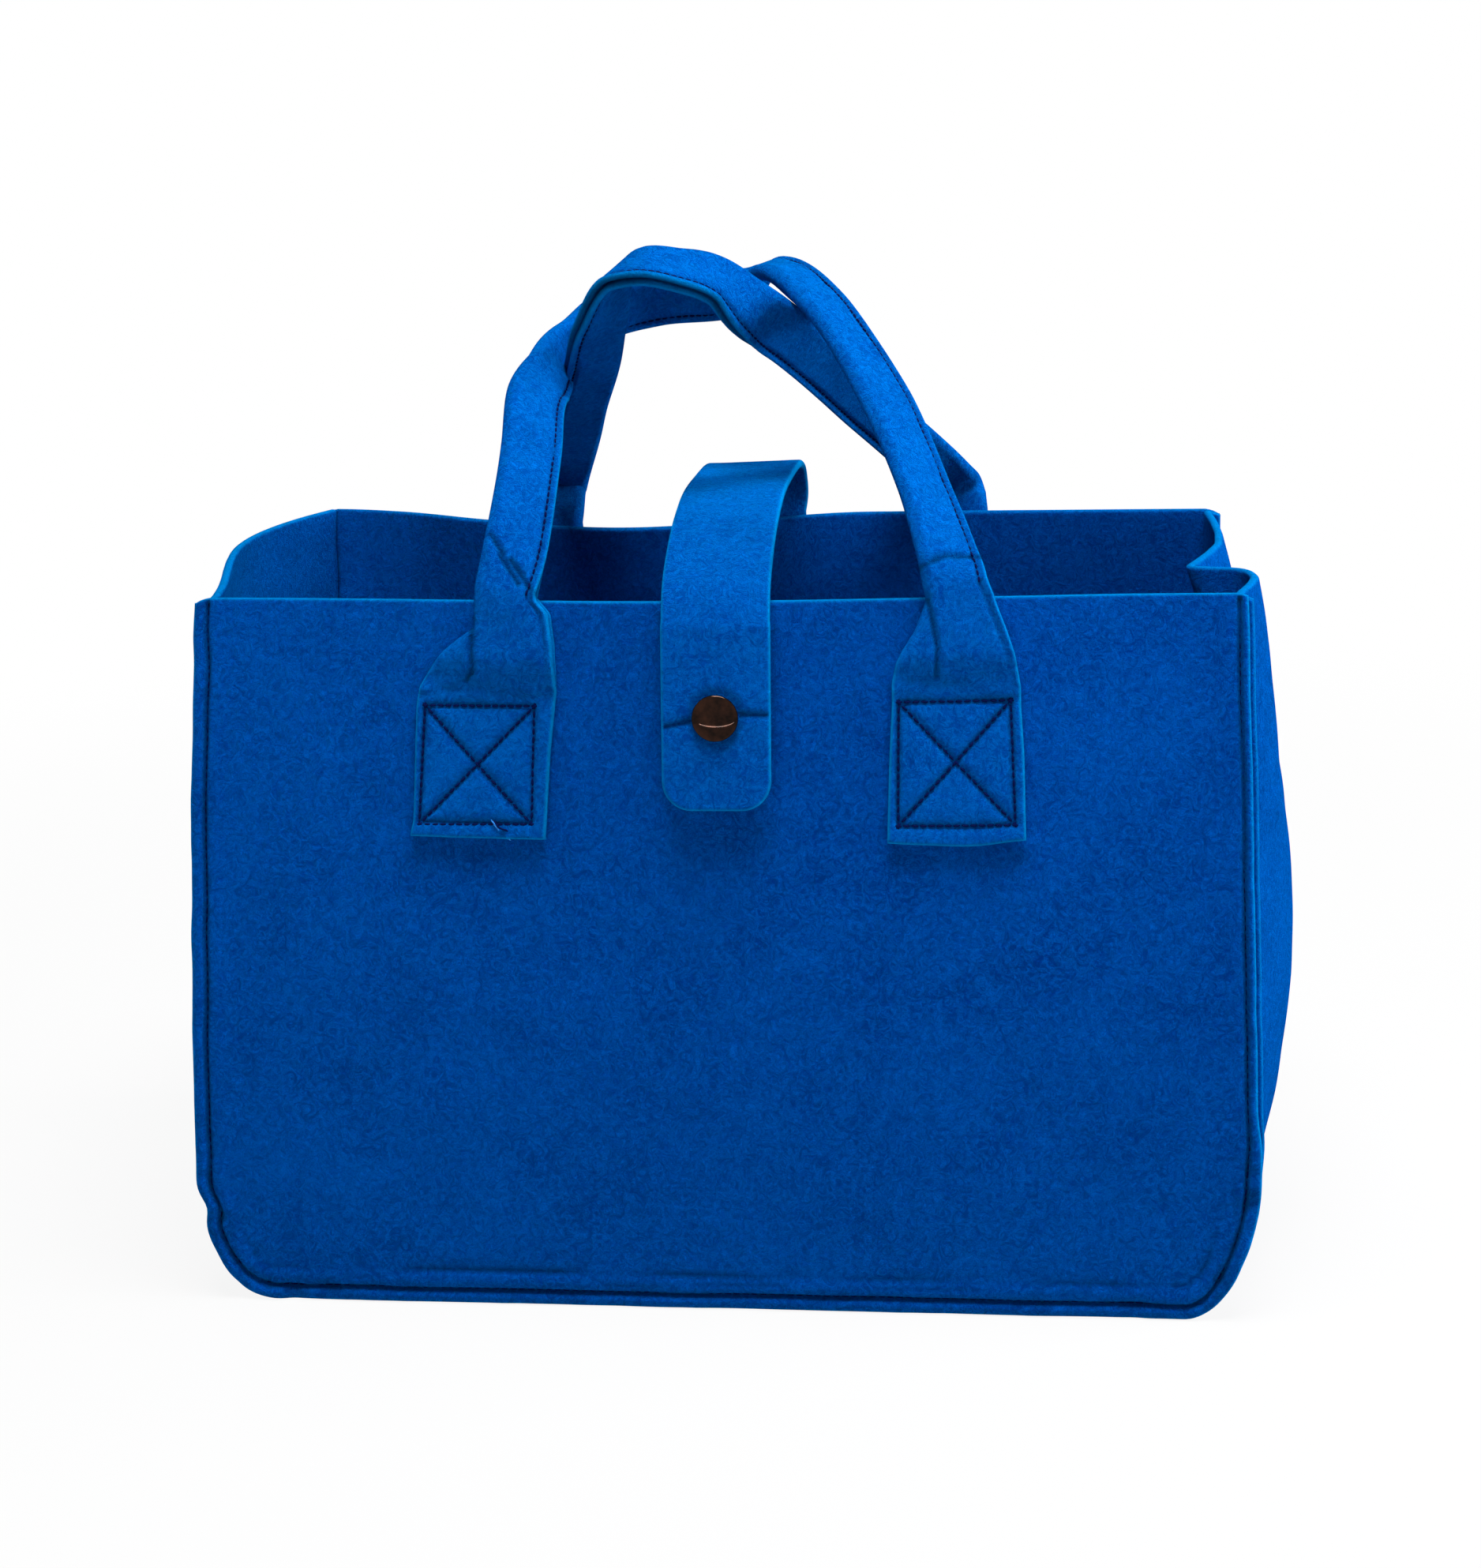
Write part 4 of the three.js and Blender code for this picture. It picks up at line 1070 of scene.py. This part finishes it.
def strap_rows():
    """Rows across the strap: mid-points, outward directions, height or place, and distance to an end."""
    half = STRAP_WIDTH / 2
    fine = np.array(EDGE_STEPS[:6])
    middle = np.linspace(-half + fine[-1], half - fine[-1], STRAP_COLUMNS)[1:-1]
    across = np.concatenate([-half + fine, middle, half - fine[::-1]])
    mids, outs, places, ends = [], [], [], []

    def lay(panel, up, offset, width=1.0, end=FAR):
        x = STRAP_MIDDLE + across * width
        mids.append(panel.over(x, up, offset))
        outs.append(-panel.normal(x, up))
        places.append(up)
        ends.append(end)

    sewn_rows = back.height - stations(0, STRAP_SEWN, 1.0, fine_low=False)[::-1]
    for up in sewn_rows:
        lay(back, up, LAYER, end=up - (back.height - STRAP_SEWN))
    start = back.over(STRAP_MIDDLE, back.height, LAYER)
    stop = front.over(STRAP_MIDDLE, front.height, STRAP_OFFSET)
    hang = front.over(STRAP_MIDDLE, front.height - RIM_BEND, STRAP_OFFSET)
    arch = [
        [STRAP_MIDDLE, start[1] + (stop[1] - start[1]) * share, FRONT_HEIGHT + rise * STRAP_RISE]
        for share, rise in STRAP_ARCH
    ]
    line = curve_through([start, *arch, hang], np.linspace(0, 1, CURVE_PLACES))
    run = lengths_along(line)
    shares = np.linspace(0, 1, ARCH_ROWS)[1:-1]

    def along_arch(further):
        return np.stack([np.interp(shares * run[-1] + further, run, line[:, k]) for k in range(3)], -1)

    ways = unit(along_arch(1) - along_arch(-1))
    back_bow, front_bow = rim_bow(back, across), rim_bow(front, across)
    for share, middle, way in zip(shares, along_arch(0), ways):
        row = middle + xyz(across, back_bow * (1 - share) + front_bow * share, 0 * across)
        mids.append(row)
        outs.append(np.broadcast_to(unit(np.cross([1.0, 0, 0], way)), row.shape))
        places.append(ON_ARCH + share * 100)
        ends.append(FAR)
    for up in np.arange(front.height - RIM_BEND, STRAP_BOTTOM + STRAP_CORNER, -0.9):
        lay(front, up, STRAP_OFFSET)
    for angle in np.linspace(0, np.pi / 2, TIP_ROWS):
        up = STRAP_BOTTOM + STRAP_CORNER * (1 - math.sin(angle))
        width = (half - STRAP_CORNER * (1 - math.cos(angle))) / half
        lay(front, up, STRAP_OFFSET, width, end=up - STRAP_BOTTOM)
    rows = [np.array(mids), np.array(outs), np.array(places)[:, None], np.array(ends)[:, None]]
    return across, *rows, run[-1], len(sewn_rows)


def make_strap():
    """The closure strap: flat on the back, over the mouth, and down to its rounded end in front."""
    across, mid, out, place, end, arch_length, sewn_count = strap_rows()
    half = STRAP_WIDTH / 2
    # distance from the cut edge, round the corners of the free end too
    wide = np.linalg.norm(mid[:, -1] - mid[:, 0], axis=1)[:, None] / 2
    u = np.abs(np.broadcast_to(across, mid.shape[:2])) / half * wide
    px = (u - (half - STRAP_CORNER)) / STRAP_CORNER
    pz = (STRAP_CORNER - end) / STRAP_CORNER
    on_back = np.arange(len(place))[:, None] < sewn_count
    tip = (place < STRAP_BOTTOM + 2 * STRAP_CORNER) & ~on_back
    rounded = STRAP_CORNER * (1 - np.hypot(np.maximum(px, 0), np.maximum(pz, 0)))
    edge = np.where(tip & (px > 0) & (pz > 0), rounded, np.minimum(wide - u, np.maximum(end, 0)))
    thick = FELT / 2 * edge_round(np.maximum(edge, 0))
    x = STRAP_MIDDLE + np.broadcast_to(across, mid.shape[:2])
    grain = xyz(x, place, 0)
    on_arch = place > ON_ARCH
    sway = waves(grain, ARCH_SWAY) * on_arch + waves(grain, STRAP_WAVE)
    from_snap = np.hypot(x - STRAP_MIDDLE, place - SNAP_HEIGHT)
    crease = pressed_line(near_lines(x, place, STRAP_DENTS), 0, DENT_PRESS)
    crease += pressed_line(from_snap, CAP_PRESS_RADIUS, CAP_RING_PRESS)
    seam = pressed_line(near_lines(x, place, STRAP_BOX), 0, STRAP_SEAM_PRESS)
    press = np.where(on_back, seam, crease) * ~on_arch * ease(edge, 0.1, 1.5)
    outer = mid + out * (thick + sway)[..., None]
    inner = mid - out * (thick - press - sway)[..., None]
    # Painted highlight along the cut edges, and painted shade in the dents, round the cap and along the seam
    cut = edge_highlight_share(edge, STRAP_EDGE_HIGHLIGHT)
    piece = sheet_solid("strap_felt", outer, inner, cut, trim_felt, np.clip(press, 0, DARKEST_PAINTED_SHADE))
    place_on_bag(piece, "closure_strap")
    total = STRAP_SEWN + arch_length + front.height - RIM_BEND - STRAP_BOTTOM


STRAP_BOX = box_lines(
    box_corners(
        STRAP_MIDDLE, back.height - STRAP_SEWN + STITCH_INSET, back.height - STITCH_INSET,
        STRAP_WIDTH / 2 - STITCH_INSET,
    )
)
make_strap()

# Press stud

snap_axis = front.normal(STRAP_MIDDLE, SNAP_HEIGHT)
snap_foot = front.at(STRAP_MIDDLE, SNAP_HEIGHT)
snap_side = unit(np.cross(snap_axis, [0, 0, 1.0]))
snap_up = np.cross(snap_side, snap_axis)
AROUND = 96
SHARP_EDGE = math.radians(40)


def turned(name, profile, node, closed_line):
    """A round metal piece from its half section: radius and height over the panel's middle."""
    angles = np.arange(AROUND) * 2 * np.pi / AROUND
    spokes = np.cos(angles)[:, None] * snap_side + np.sin(angles)[:, None] * snap_up
    points, rings = [], []
    for radius, height in profile:
        centre = snap_foot + snap_axis * height
        if radius == 0:
            rings.append([len(points)])
            points.append(centre)
        else:
            rings.append(list(range(len(points), len(points) + AROUND)))
            points += list(centre + spokes * radius)
    faces = []
    pairs = list(zip(rings, rings[1:])) + ([(rings[-1], rings[0])] if closed_line else [])
    for a, b in pairs:
        for k in range(AROUND):
            n = (k + 1) % AROUND
            if len(a) == 1:
                faces.append((a[0], b[n], b[k]))
            elif len(b) == 1:
                faces.append((a[k], a[n], b[0]))
            else:
                faces.append((a[k], a[n], b[n], b[k]))
    piece = put(name, np.array(points), faces, gunmetal)
    piece.modifiers.new("edges", "EDGE_SPLIT").split_angle = SHARP_EDGE
    place_on_bag(piece, node)


# Radii and heights of the press stud's four parts, from inside to outside
POST_RADIUS, POST_HEAD_RADIUS = 1.4, 5.0
STUD_BORE, STUD_KNOB, STUD_PLATE = 1.7, 2.2, 5.8
SOCKET_EYE, SOCKET_BORE, SOCKET_RADIUS = 1.9, 2.6, 6.2
CAP_POST_RADIUS = 1.5
DOME_FOOT, DOME_RISE, DOME_POWER = 0.75, 1.65, 0.9
STUD_PLATE_HEIGHT, SOCKET_HEIGHT = 0.7, 2

face = FELT / 2 + GAP
stud_top = face + STUD_PLATE_HEIGHT
socket_foot = stud_top + GAP
socket_top = socket_foot + SOCKET_HEIGHT
cap_foot = STRAP_OFFSET + FELT / 2 + GAP
dome_foot = cap_foot + DOME_FOOT
dome = [
    (CAP_RADIUS * math.sin(a), dome_foot + DOME_RISE * math.cos(a) ** DOME_POWER)
    for a in np.linspace(1.5, 0.02, 26)
]
cap_line = [
    (0, socket_top - 0.8), (CAP_POST_RADIUS, socket_top - 0.8), (CAP_POST_RADIUS, cap_foot),
    (CAP_RADIUS - 0.6, cap_foot - 0.15), (CAP_RADIUS - 0.2, cap_foot + 0.1),
    (CAP_RADIUS - 0.01, cap_foot + 0.35), *dome, (0, dome_foot + DOME_RISE),
]
socket_line = [
    (SOCKET_BORE, socket_foot), (SOCKET_RADIUS - 0.2, socket_foot), (SOCKET_RADIUS, socket_foot + 0.25),
    (SOCKET_RADIUS, socket_top - 0.25), (SOCKET_RADIUS - 0.2, socket_top), (SOCKET_EYE, socket_top),
    (SOCKET_EYE, socket_top - 0.5), (SOCKET_BORE, socket_top - 0.5),
]
stud_line = [
    (STUD_BORE, face), (STUD_PLATE - 0.2, face), (STUD_PLATE, face + 0.2), (STUD_PLATE, stud_top - 0.2),
    (STUD_PLATE - 0.2, stud_top), (STUD_KNOB, stud_top), (STUD_KNOB, stud_top + 0.9),
    (STUD_KNOB - 0.3, stud_top + 1.2), (STUD_BORE, stud_top + 1.2),
]
post_line = [
    (0, -face - 1), (POST_HEAD_RADIUS - 0.5, -face - 1), (POST_HEAD_RADIUS - 0.15, -face - 0.85),
    (POST_HEAD_RADIUS, -face - 0.5), (POST_HEAD_RADIUS, -face), (POST_RADIUS, -face),
    (POST_RADIUS, stud_top), (0, stud_top),
]
turned("cap_metal", cap_line, "snap_cap", False)
turned("socket_metal", socket_line, "snap_socket", True)
turned("stud_metal", stud_line, "snap_stud", True)
turned("post_metal", post_line, "snap_post", False)

# Stitches


def stitch_tree():
    """Puts a short round stitch at every pitch along the lines that come in."""
    tree = bpy.data.node_groups.new("row_of_stitches", "GeometryNodeTree")
    sizes = {"Pitch": 0.0025, "Length": 0.0021, "Thread": 0.0007, "Wander": 0.12}
    tree.interface.new_socket("Lines", in_out="INPUT", socket_type="NodeSocketGeometry")
    for name, value in sizes.items():
        tree.interface.new_socket(name, in_out="INPUT", socket_type="NodeSocketFloat").default_value = value
    tree.interface.new_socket("Seed", in_out="INPUT", socket_type="NodeSocketInt")
    tree.interface.new_socket("Finish", in_out="INPUT", socket_type="NodeSocketMaterial")
    tree.interface.new_socket("Stitches", in_out="OUTPUT", socket_type="NodeSocketGeometry")

    def add(kind, settings=None, inputs=None):
        """A node with its settings and inputs, and its first output."""
        made = tree.nodes.new(kind)
        for name, value in (settings or {}).items():
            setattr(made, name, value)
        for name, value in (inputs or {}).items():
            if isinstance(value, bpy.types.NodeSocket):
                tree.links.new(value, made.inputs[name])
            else:
                made.inputs[name].default_value = value
        return made.outputs[0] if made.outputs else None

    given = tree.nodes.new("NodeGroupInput").outputs
    thread, wander = given["Thread"], given["Wander"]
    curve = add("GeometryNodeMeshToCurve", {}, {"Mesh": given["Lines"]})
    even = add("GeometryNodeResampleCurve", {"mode": "LENGTH"}, {"Curve": curve, "Length": given["Pitch"]})
    round_one = add("GeometryNodeMeshUVSphere", {}, {"Segments": 8, "Rings": 6, "Radius": 0.5})
    stretch = add("ShaderNodeCombineXYZ", {}, {"X": given["Length"], "Y": thread, "Z": thread})
    stitch = add("GeometryNodeTransform", {}, {"Geometry": round_one, "Scale": stretch})
    way = add("GeometryNodeInputTangent")
    turn = add("FunctionNodeAlignRotationToVector", {"axis": "X"}, {"Vector": way})
    less = add("ShaderNodeMath", {"operation": "MULTIPLY"}, {0: wander, 1: -1.0})
    low, high = (add("ShaderNodeCombineXYZ", {}, {"Y": limit, "Z": limit}) for limit in (less, wander))
    limits = {0: low, 1: high, "Seed": given["Seed"]}
    odd = add("FunctionNodeRandomValue", {"data_type": "FLOAT_VECTOR"}, limits)
    spin = add("FunctionNodeEulerToRotation", {}, {0: odd})
    both = add("FunctionNodeRotateRotation", {"rotation_space": "LOCAL"}, {0: turn, 1: spin})
    row = add("GeometryNodeInstanceOnPoints", {}, {"Points": even, "Instance": stitch, "Rotation": both})
    real = add("GeometryNodeRealizeInstances", {}, {0: row})
    smooth = add("GeometryNodeSetShadeSmooth", {}, {0: real})
    painted = add("GeometryNodeSetMaterial", {}, {0: smooth, "Material": given["Finish"]})
    add("NodeGroupOutput", {}, {0: painted})
    return tree


STITCHES = stitch_tree()


def sew(name, lines, seed, pitch=2.6, length=2.3, thread=0.82, node=None):
    """Stitches along lines of points in millimetres, as one plain mesh."""
    points, edges = [], []
    for line in lines:
        start = len(points)
        points += [tuple((np.asarray(p) + TO_FRAME) * MM) for p in line]
        edges += [(i, i + 1) for i in range(start, len(points) - 1)]
    guide = bpy.data.meshes.new(name + "_guide")
    guide.from_pydata(points, edges, [])
    carrier = link(name + "_guide", guide)
    live = carrier.modifiers.new("stitches", "NODES")
    live.node_group = STITCHES
    values = {"Pitch": pitch * MM, "Length": length * MM, "Thread": thread * MM}
    values.update({"Seed": seed, "Finish": navy_thread})
    for item in STITCHES.interface.items_tree:
        if item.item_type == "SOCKET" and item.in_out == "INPUT" and item.name in values:
            live[item.identifier] = values[item.name]
    evaluated = carrier.evaluated_get(bpy.context.evaluated_depsgraph_get())
    mesh = bpy.data.meshes.new_from_object(evaluated)
    mesh.name = name
    bpy.data.objects.remove(carrier)
    if not mesh.materials:
        mesh.materials.append(navy_thread)
    place_on_bag(link(name, mesh), node)


def on_face(panel, segment, offset):
    """A straight seam over a panel, from one place to the other."""
    (x0, z0), (x1, z1) = segment
    t = np.linspace(0, 1, 40)
    return panel.over(x0 + (x1 - x0) * t, z0 + (z1 - z0) * t, offset + 0 * t)


TAB_FACE = LAYER + FELT / 2
BOX_SINK, STRAP_BOX_SINK = 0.35, 0.3  # how deep the threads lie in the felt
SEAM_SINK = 0.25
SEAM_END = 1.5  # below the rim
for where, panel in (("front", front), ("back", back)):
    for hand, side in (("left", -1), ("right", 1)):
        rows = [on_face(panel, s, TAB_FACE - BOX_SINK) for s in box_lines(ENDS[(where, side)]["box"])]
        seed = 3 + side + 7 * panel.out
        sew(f"stitches_{where}_{hand}", rows, seed, node=f"thread_{where}_{hand}")
rows = [on_face(back, s, TAB_FACE - STRAP_BOX_SINK) for s in STRAP_BOX]
sew("stitches_strap", rows, 21, node="thread_strap")
for name, rows in (("front", front_rows), ("back", back_rows)):
    sew(f"stitches_handle_{name}", [rows[1], rows[-1]], 31)
for name, panel in (("front", front), ("back", back)):
    line = seam_line(panel)
    line = line[line[:, 1] < panel.height - SEAM_END]
    x, up = line[:, 0] - FLANGE * line[:, 2], line[:, 1] - FLANGE * line[:, 3]
    seam = panel.over(x, up, -SEAM_SINK + 0 * x)
    under = panel.over(x + 0.4 * line[:, 2], up + 0.4 * line[:, 3], -LAYER - 1.0 + 0 * x)
    sew(f"stitches_seam_{name}", [seam, under], 41, pitch=3.0, length=2.5, thread=0.7)

# Loose thread ends

TAIL_RADIUS = 0.3
TAIL_RINGS, TAIL_SIDES = 26, 8
# Place across, height, and height over the panel's face
PALE_TAIL = [(-72.1, 165.7, 3.7), (-70.3, 163.4, 3.9), (-69.1, 160.9, 2.4), (-66.2, 158.4, 0.5)]
DARK_TAIL = [(-71.1, 165.5, 3.7), (-69.3, 163.2, 4.2), (-66.7, 162.0, 3.4), (-64.4, 158.9, 1.0)]


def thread_end(name, places, finish):
    """A short loose thread, thinner at both ends."""
    points = [front.over(x, up, FELT / 2 + lift) for x, up, lift in places]
    ts = np.linspace(0, 1, TAIL_RINGS)
    line = curve_through(points, ts)
    ahead = unit(np.gradient(line, axis=0))
    side = unit(np.cross(ahead, [0.31, 0.9, 0.2]))
    other = np.cross(ahead, side)
    taper = TAIL_RADIUS * np.sqrt(np.clip(1 - (2 * ts - 1) ** 8, 0.05, 1))
    angles = (np.arange(TAIL_SIDES) * 2 * np.pi / TAIL_SIDES)[None, :, None]
    round_way = np.cos(angles) * side[:, None] + np.sin(angles) * other[:, None]
    piece = tube_solid(name, line[:, None] + taper[:, None, None] * round_way, None, finish)
    place_on_bag(piece)


thread_end("pale_tail_of_left_tab", PALE_TAIL, pale_thread)
thread_end("dark_tail_of_left_tab", DARK_TAIL, navy_thread)

# Floor, lights and camera

FLOOR_HALF = 4.0
FLOOR_GREY = (0.48, 0.48, 0.48, 1)
SHADOW_SHARE = 0.1  # how much of the floor's own shade shows near the bag
WORLD_LIGHT = 0.17
WHITE = (1, 1, 1, 1)
FADE_FROM, FADE_TO = 0.3, 1.1  # distances at which the floor turns to white


def seen_directly(f):
    """1 for what the camera, a reflection or a clear piece sees of the surroundings."""
    path = f.tree.nodes.new("ShaderNodeLightPath").outputs
    camera, glossy, clear = (Wire(f, path[f"Is {ray} Ray"]) for ray in ("Camera", "Glossy", "Transmission"))
    either = f.node("ShaderNodeMath", {"operation": "MAXIMUM"}, {0: camera, 1: glossy})
    return f.node("ShaderNodeMath", {"operation": "MAXIMUM"}, {0: either, 1: clear})


def make_floor():
    """A plain pale floor that keeps the shadow, and turns to the white background further out."""
    f = Finish(bpy.data.materials.new("pale_floor"))
    place = f.node("ShaderNodeTexCoord", out=3)
    away = f.node("ShaderNodeVectorMath", {"operation": "LENGTH"}, {0: place}, out=1)
    fade = {0: away, 1: FADE_FROM, 2: FADE_TO}
    near = 1 - f.node("ShaderNodeMapRange", {"interpolation_type": "SMOOTHSTEP"}, fade)
    matt = f.node("ShaderNodeBsdfDiffuse", {}, {"Color": FLOOR_GREY})
    glow = f.node("ShaderNodeEmission", {}, {"Color": WHITE, "Strength": 1.0})
    bright = seen_directly(f) * (1 - near * SHADOW_SHARE)
    f.surface(f.node("ShaderNodeMixShader", {}, {0: bright, 1: matt, 2: glow}))
    mesh = bpy.data.meshes.new("floor")
    corners = [(-1, -1), (1, -1), (1, 1), (-1, 1)]
    mesh.from_pydata([(x * FLOOR_HALF, y * FLOOR_HALF, 0) for x, y in corners], [], [(0, 1, 2, 3)])
    mesh.materials.append(f.owner)
    link("floor", mesh)


def make_world():
    world = bpy.data.worlds.new("studio")
    bpy.context.scene.world = world
    f = Finish(world)
    soft = f.node("ShaderNodeBackground", {}, {"Color": (0.95, 0.98, 1, 1), "Strength": WORLD_LIGHT})
    white = f.node("ShaderNodeBackground", {}, {"Color": WHITE, "Strength": 1.0})
    shader = f.node("ShaderNodeMixShader", {}, {0: seen_directly(f), 1: soft, 2: white})
    f.surface(shader, "ShaderNodeOutputWorld")


def softbox(name, place, target, size, power, mirrored):
    """A flat lamp that the camera doesn't see, and that shows in the metal only when mirrored."""
    data = bpy.data.lights.new(name, "AREA")
    data.shape, (data.size, data.size_y), data.energy = "RECTANGLE", size, power
    lamp = link(name, data)
    lamp.location = place
    lamp.rotation_euler = (Vector(target) - Vector(place)).to_track_quat("-Z", "Y").to_euler()
    lamp.visible_camera = False
    lamp.visible_glossy = mirrored


make_floor()
make_world()
middle = (0.0, 0.0, 0.15)
softbox("overhead", (0.12, -0.27, 1.7), middle, (0.9, 0.6), 46, mirrored=True)
softbox("from_right", (1.8, 0.1, 0.6), middle, (0.8, 0.9), 46, mirrored=False)
softbox("from_front", (-0.5, -2.2, 0.2), middle, (1.6, 0.3), 3.4, mirrored=False)
softbox("low_strip", (0.05, -1.35, 0.05), (0.0, -0.1, 0.2), (1.4, 0.02), 3.0, mirrored=True)

# The photograph's view: a place, a heading, a downward tilt and a roll
CAMERA_AT = (0.088094, -0.881791, 0.383404)
YAW, PITCH, ROLL = (math.radians(a) for a in (-5.81, 11.04, -1.32))
PHOTO_HEIGHT = 1986
FOCAL_PIXELS = 3200
AXIS_OVER_MIDDLE = 199  # pixels from the photograph's middle up to the camera's axis

ahead = Vector((math.sin(YAW) * math.cos(PITCH), math.cos(YAW) * math.cos(PITCH), -math.sin(PITCH)))
right = Vector((math.cos(YAW), -math.sin(YAW), 0))
above = right.cross(ahead)
right_rolled = right * math.cos(ROLL) + above * math.sin(ROLL)
above_rolled = above * math.cos(ROLL) - right * math.sin(ROLL)
lens = bpy.data.cameras.new("camera")
lens.sensor_width = 36
lens.lens = FOCAL_PIXELS / PHOTO_HEIGHT * lens.sensor_width
lens.shift_y = -AXIS_OVER_MIDDLE / PHOTO_HEIGHT
lens.clip_start, lens.clip_end = 0.02, 50
camera = link("camera", lens)
turn = Matrix((right_rolled, above_rolled, -ahead)).transposed()
camera.matrix_world = Matrix.Translation(CAMERA_AT) @ turn.to_4x4()
bpy.context.scene.camera = camera
bpy.context.scene.view_settings.view_transform = "Standard"

bpy.context.view_layer.update()
